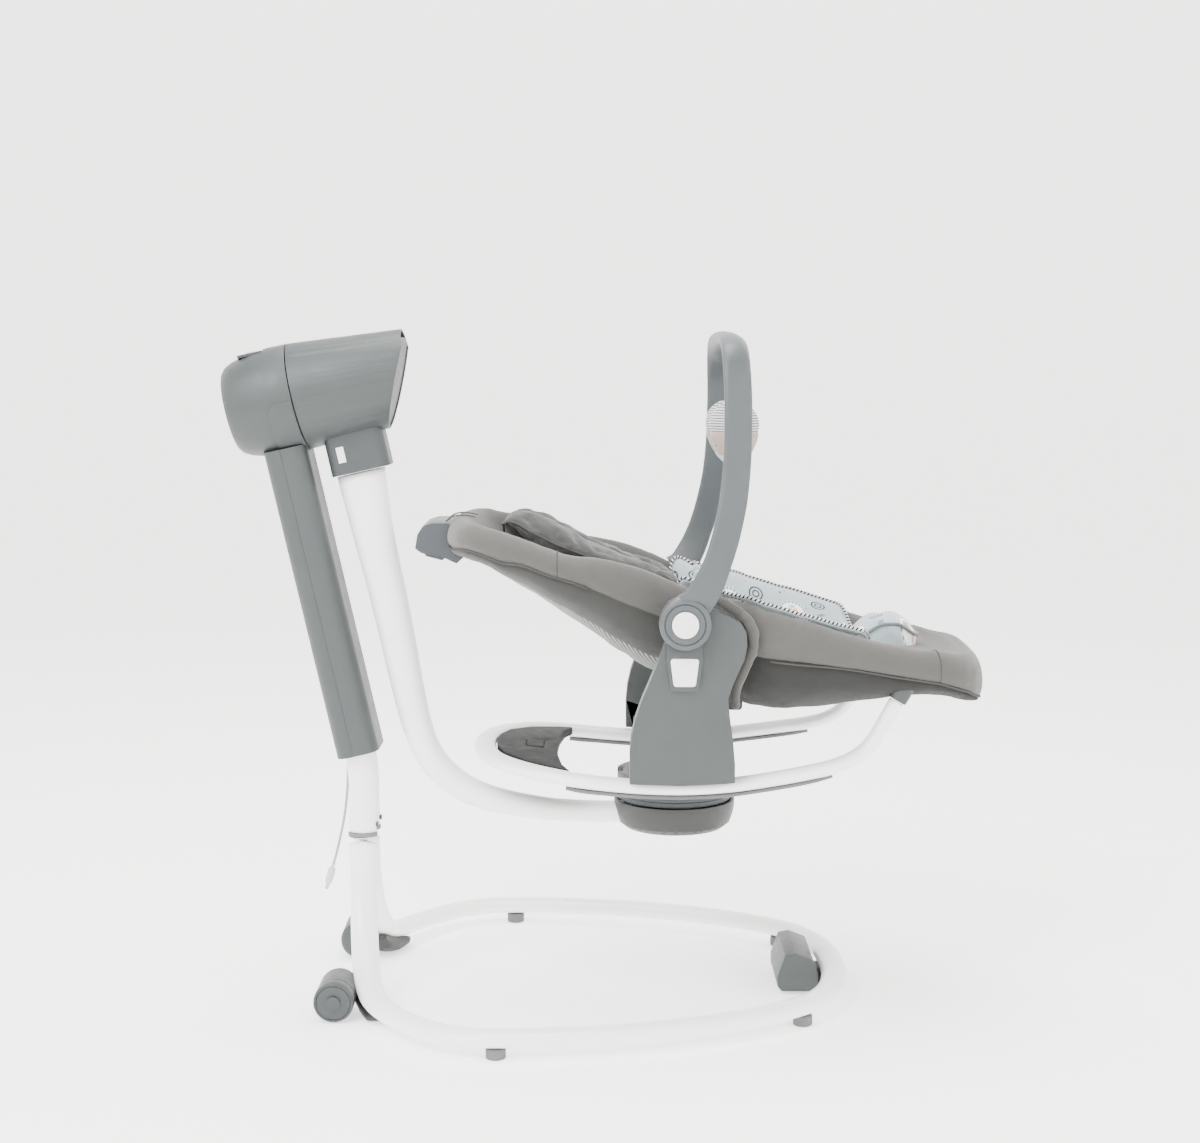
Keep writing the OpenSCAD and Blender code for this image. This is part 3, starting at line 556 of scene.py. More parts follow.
def printed_cloth(name, base):
    """Pale jersey with a repeating print of rings, leaves, dots and frames."""
    material, n, shader = new_material(name, base, 0.85)
    print_scale = n.add("ShaderNodeVectorMath", {0: n.place("UV"), "Scale": 1.05},
                        operation="SCALE")
    split = n.add("ShaderNodeSeparateXYZ", {"Vector": print_scale.outputs[0]})
    tile_u, tile_v = 92 * MM, 74 * MM
    row = n.math("FLOOR", n.math("DIVIDE", split.outputs[1], tile_v))
    shifted = n.math("ADD", split.outputs[0], n.math("MULTIPLY", row, tile_u * 0.37))
    u = n.math("MULTIPLY", n.math("FRACT", n.math("DIVIDE", shifted, tile_u)), tile_u)
    v = n.math("MULTIPLY", n.math("FRACT", n.math("DIVIDE", split.outputs[1], tile_v)), tile_v)
    grey, pale = (0.16, 0.19, 0.2), (0.9, 0.91, 0.9)
    mint, coral, ink = (0.22, 0.5, 0.36), (0.72, 0.27, 0.12), (0.05, 0.055, 0.055)
    color = n.tint(n.ramp(n.noise(n.place(), 30, 2), 0.3, 0.7, 0, 1), base,
                   tuple(c * 0.96 for c in base))
    wreath = (27 * MM, 26 * MM)
    angle = n.math("ARCTAN2", n.math("SUBTRACT", v, wreath[1]), n.math("SUBTRACT", u, wreath[0]))
    dashes = n.ramp(n.math("SINE", n.math("MULTIPLY", angle, 22.0)), -0.2, 0.2, 0, 1)
    marks = [
        (disc_mark(n, u, v, wreath, 17.5 * MM), pale),
        (n.math("MULTIPLY", ring_mark(n, u, v, wreath, 18.5 * MM, 1.7 * MM), dashes), grey),
        (disc_mark(n, u, v, (22 * MM, 26 * MM), 6.5 * MM), (0.27, 0.3, 0.31)),
        (leaf_mark(n, u, v, (33 * MM, 27 * MM), 6 * MM, 0.4), coral),
        (leaf_mark(n, u, v, (27 * MM, 36 * MM), 4.5 * MM, 1.3), mint),
        (leaf_mark(n, u, v, (62 * MM, 15 * MM), 7 * MM, 0.9), mint),
        (leaf_mark(n, u, v, (70 * MM, 20 * MM), 7 * MM, 2.2), grey),
        (ring_mark(n, u, v, (66 * MM, 48 * MM), 9.5 * MM, 1.2 * MM), ink),
        (ring_mark(n, u, v, (66 * MM, 48 * MM), 4.5 * MM, 1.1 * MM), ink),
        (disc_mark(n, u, v, (50 * MM, 62 * MM), 2.2 * MM), coral),
        (disc_mark(n, u, v, (10 * MM, 60 * MM), 1.6 * MM), ink),
        (disc_mark(n, u, v, (17 * MM, 64 * MM), 1.2 * MM), grey),
        (disc_mark(n, u, v, (48 * MM, 34 * MM), 1.4 * MM), grey),
        (disc_mark(n, u, v, (82 * MM, 66 * MM), 1.8 * MM), mint),
    ]
    for mark, ink_color in marks:
        color = n.tint(mark, color, ink_color)
    n.link(color, shader.inputs["Base Color"])
    height = weave(n, n.place("UV"), 0.55 * MM)
    soft = n.bumps(shader, n.noise(n.place(), 45, 3), 0.3, 1.0 * MM)
    n.bumps(shader, height, 0.35, 0.15 * MM, soft)
    shader.inputs["Sheen Weight"].default_value = 0.2
    shader.inputs["Specular IOR Level"].default_value = 0.25
    return material


def rope_piping(name, a, b, pitch):
    """Two-colour twisted cord: the stripes wind round the piping."""
    material, n, shader = new_material(name, a, 0.8)
    split = n.add("ShaderNodeSeparateXYZ", {"Vector": n.place("UV")})
    phase = n.math("ADD", n.math("MULTIPLY", split.outputs[0], 2 * math.pi / pitch),
                   n.math("MULTIPLY", split.outputs[1], 2 * math.pi))
    wave = n.math("SINE", phase)
    n.link(n.tint(n.ramp(wave, -0.15, 0.15, 0, 1), a, b), shader.inputs["Base Color"])
    n.bumps(shader, n.math("ABSOLUTE", wave), 0.7, 0.5 * MM)
    return material


def striped_cloth(name, a, b, pitch):
    material, n, shader = new_material(name, a, 0.85)
    split = n.add("ShaderNodeSeparateXYZ", {"Vector": n.place()})
    wave = n.math("SINE", n.math("MULTIPLY", split.outputs[2], 2 * math.pi / pitch))
    n.link(n.tint(n.ramp(wave, -0.2, 0.2, 0, 1), a, b), shader.inputs["Base Color"])
    n.bumps(shader, n.noise(n.place(), 700, 2), 0.5, 0.3 * MM)
    shader.inputs["Sheen Weight"].default_value = 0.3
    return material


def dotted_cloth(name, base, ink):
    material, n, shader = new_material(name, base, 0.85)
    cells = n.add("ShaderNodeTexVoronoi", {"Vector": n.place(), "Scale": 90.0,
                                           "Randomness": 0.6})
    dot = n.ramp(cells.outputs["Distance"], 0.12, 0.16, 1, 0)
    n.link(n.tint(dot, base, ink), shader.inputs["Base Color"])
    n.bumps(shader, n.noise(n.place(), 700, 2), 0.5, 0.3 * MM)
    shader.inputs["Sheen Weight"].default_value = 0.3
    return material


def circuit_board(name):
    material, n, shader = new_material(name, (0.03, 0.2, 0.1), 0.4)
    brick = n.add("ShaderNodeTexBrick", {"Vector": n.place(), "Scale": 160.0})
    n.link(n.tint(brick.outputs["Fac"], (0.03, 0.2, 0.1), (0.05, 0.3, 0.15)),
           shader.inputs["Base Color"])
    return material


GREY = (0.043, 0.05, 0.05)
SEAT = (0.075, 0.072, 0.067)

MAT = {
    "white_tube": painted("white_tube_paint", (0.9, 0.9, 0.9), 0.3),
    "grey_plastic": plastic("grey_plastic_moulded", GREY),
    "dark_plastic": plastic("dark_plastic_moulded", (0.038, 0.043, 0.045)),
    "white_plastic": plastic("white_plastic_moulded", (0.8, 0.8, 0.8), 0.32, 0.08, 0.3),
    "blue_grey_plastic": plastic("handle_plastic", (0.037, 0.041, 0.047), 0.42),
    "bar_plastic": plastic("toy_bar_plastic", (0.06, 0.068, 0.072), 0.42),
    # painted shade: the dock bowl's plastic is made darker to stand for the shade under the seat
    "dock_plastic_painted_shade": plastic("dock_plastic_painted_shade", (0.028, 0.029, 0.028)),
    "panel_plastic": plastic("panel_plastic", (0.02, 0.021, 0.021), 0.6, specular=0.08),
    "ring_plastic": plastic("ring_plastic", (0.13, 0.134, 0.137)),
    "rail_sleeve": plastic("rail_sleeve", (0.06, 0.058, 0.054), 0.8, 0.4),
    # painted shade: darker grey for the face plate and the head faces that look to the foot end, where the fill
    # light falls
    "face_painted_shade": plastic("face_painted_shade", (0.02, 0.023, 0.024)),
    "clip_plastic": plastic("clip_plastic", (0.016, 0.016, 0.016)),
    "rubber": plastic("rubber_grain", (0.11, 0.116, 0.118), 0.75, 0.6),
    "cord_sleeve": plastic("cord_sleeve", (0.3, 0.31, 0.3), 0.5, 0.05),
    "connector": plastic("connector_moulded", (0.5, 0.52, 0.5), 0.4, 0.08),
    "steel": metal("turned_steel", (0.6, 0.6, 0.62), 0.3),
    "board": circuit_board("board_coating"),
    "seat_cloth": cloth("seat_cloth_weave", SEAT, (0.055, 0.053, 0.048)),
    # painted shade: the cloths below the cushions' lower seams are darker than the seat cloth, to stand for the
    # shade under the seat
    "sling_cloth": cloth("sling_cloth_weave_painted_shade", (0.034, 0.034, 0.032), (0.022, 0.022, 0.021)),
    "pan_low_cloth": cloth("pan_low_cloth_painted_shade", (0.022, 0.022, 0.021), (0.014, 0.014, 0.013),
                           sheen=0.05),
    "mesh_cloth": mesh_cloth("mesh_cloth_ribs", (0.06, 0.062, 0.058), (0.36, 0.38, 0.36)),
    "pillow_cloth": cloth("pillow_cloth_weave", (0.046, 0.046, 0.045), (0.031, 0.031, 0.03),
                          0.55 * MM),
    "print_cloth": printed_cloth("print_jersey", (0.37, 0.43, 0.46)),
    "piping": rope_piping("piping_twist", (0.55, 0.55, 0.55), (0.01, 0.01, 0.01), 5.4 * MM),
    "edge_piping": cloth("edge_piping_cloth", (0.16, 0.165, 0.17), (0.11, 0.11, 0.11), 0.4 * MM),
    "thread": plastic("sewing_thread", (0.04, 0.04, 0.038), 0.8, 0.5),
    "webbing": cloth("webbing_weave", (0.05, 0.05, 0.05), (0.02, 0.02, 0.02), 1.1 * MM),
    "toy_stripe": striped_cloth("toy_stripes", (0.55, 0.55, 0.55), (0.07, 0.07, 0.075), 3.4 * MM),
    "toy_dots": dotted_cloth("toy_dots", (0.3, 0.22, 0.19), (0.03, 0.025, 0.02)),
    "toy_mint": dotted_cloth("toy_mint", (0.36, 0.52, 0.47), (0.6, 0.62, 0.6)),
}

FINISH_OF = {"toy_bar": "bar_plastic", "dock_bowl": "dock_plastic_painted_shade", "rear_panel": "panel_plastic",
             "seat_release_button": "panel_plastic", "face_plate": "face_painted_shade",
             "cover_clips": "clip_plastic", "toy_near": "toy_mint", "toy_far": "toy_mint",
             "leg_joint_rings": "ring_plastic", "leg_button_near": "bar_plastic",
             "leg_button_far": "bar_plastic", "back_frame": "rail_sleeve",
             "pan_frame": "rail_sleeve"}


def finish_of(node):
    return MAT[FINISH_OF.get(node, SLOT_OF[node])]


# --- seat cloth surfaces, in millimetres -------------------------------------

BOLSTER = 62       # inner foot of the bolster, measured in from the rim
SEAM_IN = 4        # lower seam, measured in from the rim
BOLSTER_TOP = 24   # highest line of the bolster, measured in from the rim
RIM_STEPS = 150    # stations round a cover's rim
END_ROUND = 12     # rounding of a cover's two ends
INNER_POINTS = 9   # points of a section on its inside floor
LOW_POINTS = 14    # points of a section below its lower seam


class Cover:
    """A padded U of cloth over a rail, with a sling between its sides."""

    def __init__(self, rim, crown, seam, floor, under, spine):
        self.rim, self.spine = rim, spine
        self.crown, self.seam = profile(crown), profile(seam)
        self.floor, self.under = profile(floor), profile(under)

    def sling(self, x_rim, x, f):
        drop = (1 - (1 - min(max(f, 0), 1)) ** 2) ** 0.5
        return mix(self.seam(x_rim), self.under(x), drop)

    def inner(self, x_rim, x, f):
        """Height of the inside floor: the flat pad, or just over the sling."""
        low, over = self.floor(x), self.sling(x_rim, x, f) + 12
        k = 10
        h = min(max(0.5 + 0.5 * (over - low) / k, 0), 1)
        return mix(low, over, h) + k * h * (1 - h)

    def top(self, x, y):
        """Height of the upper surface over a point beside the straight sides."""
        half = self.half(x)
        d = half - abs(y)
        f = max(0.0, (d - SEAM_IN) / (half - SEAM_IN))
        crown, seam = self.crown(x), self.seam(x)
        low = self.inner(x, x, f)
        if d < BOLSTER_TOP:
            fall = 1 - math.sqrt(max(0, 1 - ((BOLSTER_TOP - d) / BOLSTER_TOP) ** 2))
            return mix(crown, seam, 0.5 * fall)
        return mix(crown, low, smooth((d - BOLSTER_TOP) / (BOLSTER - BOLSTER_TOP)))

    def half(self, x):
        pairs = sorted((p[0], abs(p[1])) for p in self.rim if p[1] <= 0)
        return profile(pairs)(x)


BACK = Cover(
    rim=[(128, -150), (92, -157), (40, -163), (-20, -165), (-80, -165), (-130, -161),
         (-168, -145), (-191, -112), (-202, -60), (-205.5, 0)],
    crown=[(-206, 640), (-182, 640), (-159, 635), (-127, 629), (-103, 621), (-71, 610),
           (-40, 600), (-9, 597), (22, 591), (47, 584), (72, 575), (102, 562), (130, 550)],
    seam=[(-206, 602), (-181, 606), (-163, 604), (-126, 592), (-102, 589), (-67, 576),
          (-34, 566), (3, 550), (46, 533), (69, 523), (100, 508), (130, 496)],
    floor=[(-206, 634), (-170, 612), (-100, 567), (-3, 504), (61, 462), (90, 450), (130, 446)],
    under=[(-206, 592), (-190, 588), (-168, 582), (-144, 575), (-106, 551), (-54, 516),
           (-3, 481), (32, 455), (61, 438), (90, 428), (130, 424)],
    spine=-118)

PAN = Cover(
    rim=[(112, -157), (150, -162), (174, -169), (194, -179), (236, -180), (300, -172),
         (360, -160), (412, -151), (456, -139), (484, -111), (497, -66), (500.5, 0)],
    crown=[(110, 560), (150, 547), (185, 541), (203, 534), (247, 521), (310, 503), (379, 484),
           (425, 477), (460, 472), (500, 470)],
    seam=[(110, 486), (190, 473), (243, 466), (305, 459), (368, 447), (430, 436), (470, 423),
          (490, 412), (500, 406)],
    floor=[(110, 450), (150, 445), (210, 445), (280, 455), (350, 468), (410, 468), (450, 462),
           (500, 470)],
    under=[(110, 424), (150, 412), (180, 398), (191, 391), (217, 386), (243, 386), (275, 389),
           (320, 395), (365, 402), (397, 408), (436, 410), (474, 405), (500, 405)],
    spine=412)


def rim_path(cover, steps):
    """Points round the rim, near side first, with inward normals and spine points."""
    near = [Vector((x, y, 0)) for x, y in cover.rim]
    far = [Vector((x, -y, 0)) for x, y in reversed(cover.rim[:-1])]
    loop = near + far
    points = [catmull(loop, k / (4 * steps)) for k in range(4 * steps + 1)]
    even = [points[0]]
    total = sum((b - a).length for a, b in zip(points, points[1:]))
    gone, step = 0.0, total / steps
    for a, b in zip(points, points[1:]):
        gone += (b - a).length
        if gone >= step * len(even) - 1e-6 and len(even) <= steps:
            even.append(b)
    even[-1] = points[-1]
    rows = []
    toward = 1 if cover.spine > 200 else -1
    for i, p in enumerate(even):
        ahead, behind = even[min(i + 1, len(even) - 1)], even[max(i - 1, 0)]
        tangent = (ahead - behind).normalized()
        normal = Vector((-tangent.y, tangent.x, 0))
        if normal.y * p.y > 0 or (abs(p.y) < 5 and normal.x * toward > 0):
            normal = -normal
        x = min(p.x, cover.spine) if toward > 0 else max(p.x, cover.spine)
        rows.append((p, normal, Vector((x, 0, 0))))
    return rows


def section(cover, rim, normal, spine, inset):
    """Points across the cover from the spine over the bolster and back below."""
    reach = rim + normal * BOLSTER
    under_from = rim + normal * SEAM_IN
    whole = max((spine - under_from).length, 1e-3)
    crown, seam = cover.crown(rim.x), cover.seam(rim.x)
    top, low, inner = [], [], []
    for k in range(INNER_POINTS):
        p = spine.lerp(reach, k / (INNER_POINTS - 1))
        share = (p - under_from).length / whole
        inner.append(Vector((p.x, p.y, cover.inner(rim.x, p.x, share) - inset)))
    foot = inner[-1].z
    for d, lift in ((57, 0.05), (51, 0.17), (45, 0.37), (39, 0.62), (33, 0.83)):
        p = rim + normal * d
        top.append(Vector((p.x, p.y, mix(foot + inset, crown, lift) - inset)))
    body = crown - seam
    for d, down in ((27, 0.03), (21, 0.0), (15, 0.035), (9.5, 0.12), (5, 0.24), (2, 0.38),
                    (0.5, 0.53), (0, 0.67), (0.5, 0.8), (2, 0.9), (4, 0.965)):
        p = rim + normal * (d + inset)
        top.append(Vector((p.x, p.y, crown - body * down - inset * (1 - 2 * down))))
    for d, z in ((7.5, 0.0), (4.5, -3)):
        p = rim + normal * (d + inset)
        low.append(Vector((p.x, p.y, seam + z + inset)))
    for k in range(1, 13):
        f = (k / 12) ** 1.4
        p = (under_from + normal * inset).lerp(spine, f)
        z = cover.sling(rim.x, p.x, f) - 3.5 * (1 - f)
        low.append(Vector((p.x, p.y, z + inset)))
    return inner + top + low


def wrinkle(p, size, scale, stretch=(1, 1, 1)):
    q = Vector((p.x * stretch[0], p.y * stretch[1], p.z * stretch[2])) * scale
    return noise.noise(q) * size


def build_cover(name, cover, material, low_material, strip_material=None):
    """One closed cushion: bolster and floor above, sling below, ends tucked in."""
    rows = rim_path(cover, RIM_STEPS)
    away = Vector((1, 0, 0)) if cover.spine < 200 else Vector((-1, 0, 0))
    turns = [math.radians(90 - 18 * k) for k in range(5)]
    tuck = [(away * END_ROUND * math.sin(a), END_ROUND * (1 - math.cos(a))) for a in turns]
    stations = [(rows[0], shift, inset) for shift, inset in tuck]
    stations += [(row, Vector(), 0.0) for row in rows[1:-1]]
    stations += [(rows[-1], shift, inset) for shift, inset in reversed(tuck)]
    built = []
    for (rim, normal, spine), shift, inset in stations:
        line = section(cover, rim, normal, spine, inset)
        built.append([(p + shift) * MM for p in line])
    on_side, on_top = 40, 20    # a station and a point that stand for the others' lengths
    across = [0.0]
    for a, b in zip(built[on_side], built[on_side][1:]):
        across.append(across[-1] + (b - a).length)
    along = [0.0]
    for a, b in zip(built, built[1:]):
        along.append(along[-1] + (b[on_top] - a[on_top]).length)
    piece = grid_mesh(name, built, lambda i, k: (along[i], across[k]), material, merge=4e-5)
    piece.data.materials.append(low_material)
    if strip_material:
        piece.data.materials.append(strip_material)
    mesh = bmesh.new()
    mesh.from_mesh(piece.data)
    edges = [e for e in mesh.edges if e.is_boundary]
    bmesh.ops.holes_fill(mesh, edges=edges)
    layer = mesh.loops.layers.uv["cloth"]
    # the sling's cloth starts at the lower seam, and the mesh strip five points further in
    split, strip = across[-LOW_POINTS - 1], across[5 - LOW_POINTS]
    # faces of the sling take low_material, whose darker colour is painted shade under the cushion
    for face in mesh.faces:
        middle = sum((loop[layer].uv.y for loop in face.loops)) / len(face.loops)
        if middle > split:
            face.material_index = 2 if strip_material and middle > strip else 1
    bmesh.ops.recalc_face_normals(mesh, faces=mesh.faces)
    mesh.to_mesh(piece.data)
    mesh.free()
    return piece


def crumple(piece, amount, scale, weight=None, stretch=(1, 1, 1)):
    """Soft folds: moves points along their normals by smooth noise."""
    mesh = piece.data
    normals = [v.normal.copy() for v in mesh.vertices]
    for v, n in zip(mesh.vertices, normals):
        share = weight(v.co) if weight else 1.0
        v.co += n * wrinkle(v.co, amount, scale, stretch) * share


PIN_REACH = 7 * MM      # cloth nearer to its seam than this is held in place
PUFF_FRAMES = 20


def puff(piece, held, cap, voxel=4.5 * MM):
    """Inflate a closed cushion by cloth simulation, held along its seam line."""
    remesh = piece.modifiers.new("remesh", "REMESH")
    remesh.mode = "VOXEL"
    remesh.voxel_size = voxel
    apply_modifiers(piece)
    seam = kdtree.KDTree(len(held))
    for i, p in enumerate(held):
        seam.insert(p, i)
    seam.balance()
    pins = piece.vertex_groups.new(name="seam")
    start = [v.co.copy() for v in piece.data.vertices]
    for i, p in enumerate(start):
        near = seam.find(p)[2]
        if near < PIN_REACH:
            pins.add([i], 1 - near / PIN_REACH, "REPLACE")
    air = piece.modifiers.new("cloth", "CLOTH")
    air.settings.use_pressure = True
    air.settings.uniform_pressure_force = 4.0
    air.settings.shrink_min = -0.04
    air.settings.vertex_group_mass = "seam"
    air.settings.effector_weights.gravity = 0
    air.collision_settings.use_collision = False
    for number in range(1, PUFF_FRAMES + 1):
        bpy.context.scene.frame_set(number)
    apply_modifiers(piece)
    bpy.context.scene.frame_set(1)
    for v, p in zip(piece.data.vertices, start):
        moved = v.co - p
        if moved.length > cap:
            v.co = p + moved * (cap / moved.length)
    subdivide(piece)


def lay_uvs(piece):
    """Cloth coordinates for a remeshed cushion, laid on from above with some stretch."""
    layers = piece.data.uv_layers
    layer = layers.get("cloth") or layers.new(name="cloth")
    for loop in piece.data.loops:
        p = piece.data.vertices[loop.vertex_index].co
        layer.data[loop.index].uv = (p.x * 1.2, p.y + p.z * 0.4)


BACK_FOOT, PAN_HEAD = 128, 112    # the covers' open ends, which overlap at the crease


def insert_top(x, y):
    """Upper surface of both covers together, smooth across the crease."""
    past, fall, run, blend = 6, 90, 30, 14
    back = BACK.top(min(x, BACK_FOOT), y) - fall * smooth((x - (BACK_FOOT + past)) / run)
    pan = PAN.top(max(x, PAN_HEAD), y) - fall * smooth((PAN_HEAD - past - x) / run)
    share = min(max(0.5 + 0.5 * (back - pan) / blend, 0), 1)
    return mix(pan, back, share) + blend * share * (1 - share)


# --- power lead --------------------------------------------------------------

make_camera()
lead_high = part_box("power_lead")[1]
LEAD_D = 0.0036
lead_x0 = lead_high.x - LEAD_D / 2
lead_route = [Vector((lead_x0 - s, 0, z)) for s, z in (
    (0, lead_high.z), (0, 0.300), (0.001, 0.270), (0.005, 0.235), (0.011, 0.205),
    (0.017, 0.180), (0.021, 0.166))]
lead_path = curve(lead_route, 48)
lead = round_sweep("power_lead_sleeve", lead_path, LEAD_D / 2, MAT["cord_sleeve"])
sharpen(lead, 50)
mount(lead, "base", "cord_sleeve", "power_lead")
lead_end = lead_path[-1]
lead_way = (lead_path[-1] - lead_path[-3]).normalized()
connector = lathe("connector_body", [(h * MM, r * MM) for h, r in (
    (0, 0.01), (0, 2.3), (2, 2.5), (3, 2.2), (4, 2.6), (5, 2.3), (6, 2.9), (7.5, 4.6), (9, 5),
    (25, 5), (27.5, 4.6), (28, 3.9), (28, 2.75), (36.4, 2.7), (37, 2.4), (37, 1.2), (33, 1.1),
    (33, 0.01))], lead_end, lead_way, MAT["connector"])
mount(connector, "base", "cord_sleeve", "lead_connector")
make_stage()


# --- hard pieces -------------------------------------------------------------

for node in frame["nodes"]:
    mesh = frame["nodes"][node].data
    mesh.materials.clear()
    mesh.materials.append(finish_of(node))
    sharpen(frame["nodes"][node], 35)

for node in ("base_ring", "upper_leg_tubes", "swing_arm", "bouncer_loop"):
    smooth_tube(node, MAT["white_tube"])

ROUNDED = {    # width of the rounding on each moulded part's edges, in millimetres
    "leg_cover_front": 2.0, "leg_cover_rear": 2.0, "front_head": 3.5, "rear_housing": 1.5,
    "arm_collar": 3.0, "dock_bowl": 1.5, "seat_base": 3.0, "front_block": 2.5,
    "feet": 2.0, "rear_panel": 1.2, "seat_brackets": 2.5, "recline_handle": 3.0,
    "recline_lever": 1.0, "leg_joint_rings": 1.0, "control_panel": 0.8,
    "toy_button_near": 1.0, "toy_button_far": 1.0, "turntable": 1.0,
    "loop_ferrules": 1.5, "cover_clips": 1.5, "lead_grommet": 0.6}
SKINS = {node: rounded_copy(node, finish_of(node), width * MM) for node, width in ROUNDED.items()}


def paint_face_shade(skin):
    """Painted shade: faces of the head that look to the foot end get a darker plastic than its shell, to hold down
    the fill light that falls on them.
    """
    skin.data.materials.append(MAT["face_painted_shade"])
    for polygon in skin.data.polygons:
        if polygon.normal.x > 0.8:
            polygon.material_index = 1


def raise_wings(skin):
    """The seat base gets thinner towards its two ends, behind the loop's tube."""
    for v in skin.data.vertices:
        if abs(v.co.y) > 100 * MM:
            v.co.z = max(v.co.z, 292 * MM)


paint_face_shade(SKINS["front_head"])
raise_wings(SKINS["seat_base"])


def wheel(side):
    """Solid wheel: a flat face inside a fine groove near the rim."""
    node = "wheel_" + LABEL[side]
    low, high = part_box(node)
    radius = (high.z - low.z) / 2
    width = high.y - low.y
    inner = low.y if side > 0 else -high.y
    outline = [(0, 0.0001), (0, radius - 2 * MM), (1 * MM, radius - 0.4 * MM), (3 * MM, radius),
               (width - 3 * MM, radius), (width - 1 * MM, radius - 0.6 * MM),
               (width, radius - 2.2 * MM), (width, radius - 3.6 * MM),
               (width - 1 * MM, radius - 3.9 * MM), (width - 1 * MM, radius - 4.5 * MM),
               (width, radius - 4.8 * MM), (width, 0.0001)]
    centre = ((low.x + high.x) / 2, side * inner, (low.z + high.z) / 2)
    skin = lathe(node + "_skin", outline, centre, (0, side, 0), MAT["dark_plastic"])
    mount(skin, BODY_OF[node], SLOT_OF[node], node)


for side in LABEL:
    wheel(side)


def grip_strip(side):
    """Soft strip under a long side of the loop, following the tube."""
    line = [(-46, 162, 307.8), (-20, 168, 305), (0, 169, 303.2), (45, 170, 299.6), (100, 170, 298.1),
            (152, 170, 300.6), (202, 167, 306.6), (252, 161, 314.1), (292, 152.5, 321.6)]
    route = [Vector((x, side * y, z - 2.2)) * MM for x, y, z in line]
    steps = 80

    def flat(i, angle):
        width = 8.5 * min(1.0, 0.25 + min(i, steps - i) / 8)
        return oval(width * MM, 2.4 * MM, angle, 0.3, 0.6)
    strip = sweep("grip_strip_" + LABEL[side], curve(route, steps), flat, MAT["rubber"])
    sharpen(strip, 50)
    mount(strip, "seat", "rubber")
    return strip


grip_strip(1)
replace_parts(grip_strip(-1), "grip_strips")


def flush_button():
    """Release tablet that lies level with the sloping panel round it."""
    node = "seat_release_button"
    low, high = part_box(node)
    middle_x, middle_z = (low.x + high.x) / 2, (low.z + high.z) / 2
    slope = 13 / 110
    panel_x, panel_z = -150 * MM, 338 * MM
    proud = 0.7 * MM

    def level(mesh):
        for v in mesh.verts:
            v.co.x = middle_x + (v.co.x - middle_x) * 0.95
            v.co.y *= 0.97
            if v.co.z > middle_z:
                v.co.z = panel_z + (panel_x - v.co.x) * slope + proud
    piece = merged_copy(node, level)
    bevel_edges(piece, 0.8 * MM, 30)
    stand_in(piece, node, finish_of(node))


flush_button()


def wheel_housing(side):
    """Drum behind a wheel and the saddle that joins it to the floor tube."""
    label = LABEL[side]
    low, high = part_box("wheel_" + label)
    centre = ((low.x + high.x) / 2, side * 98 * MM, (low.z + high.z) / 2)
    radius = (high.z - low.z) / 2
    outline = [(0, 0.0001), (0, radius - 9 * MM), (1.5 * MM, radius - 4 * MM),
               (5 * MM, radius - 1 * MM), (9 * MM, radius - 0.4 * MM),
               (53 * MM, radius - 0.4 * MM), (53 * MM, 0.0001)]
    drum = lathe("wheel_drum_" + label, outline, centre, (0, side, 0), MAT["grey_plastic"])
    mount(drum, "base", "grey_plastic")
    line = [(-318, 98, 33), (-314, 108, 26), (-309, 118, 19.5), (-300, 138, 12.5),
            (-291, 158, 10), (-282, 176, 9.5)]
    heights = profile([(0, 5), (0.2, 9), (0.45, 11.5), (0.7, 9.5), (1, 3)])
    steps = 40
    points = curve([Vector((x, side * y, z)) * MM for x, y, z in line], steps)

    def saddle_section(i, angle):
        wide = 15 * min(1.0, 0.3 + (steps - i) / 10)
        return oval(wide * MM, heights(i / steps) * MM, angle, 0.7, 0.7)
    # partly painted shadow: the saddle is a real part, but its near-black clip plastic, instead of the housing's
    # grey, also stands for the contact shadow where it meets the floor tube
    saddle = sweep("wheel_saddle_" + label, points, saddle_section, MAT["clip_plastic"],
                   side=(1, 0, 0))
    sharpen(saddle, 50)
    mount(saddle, "base", "grey_plastic")
    return drum


wheel_housing(1)
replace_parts(wheel_housing(-1), "wheel_housings")


# --- toy bar -----------------------------------------------------------------

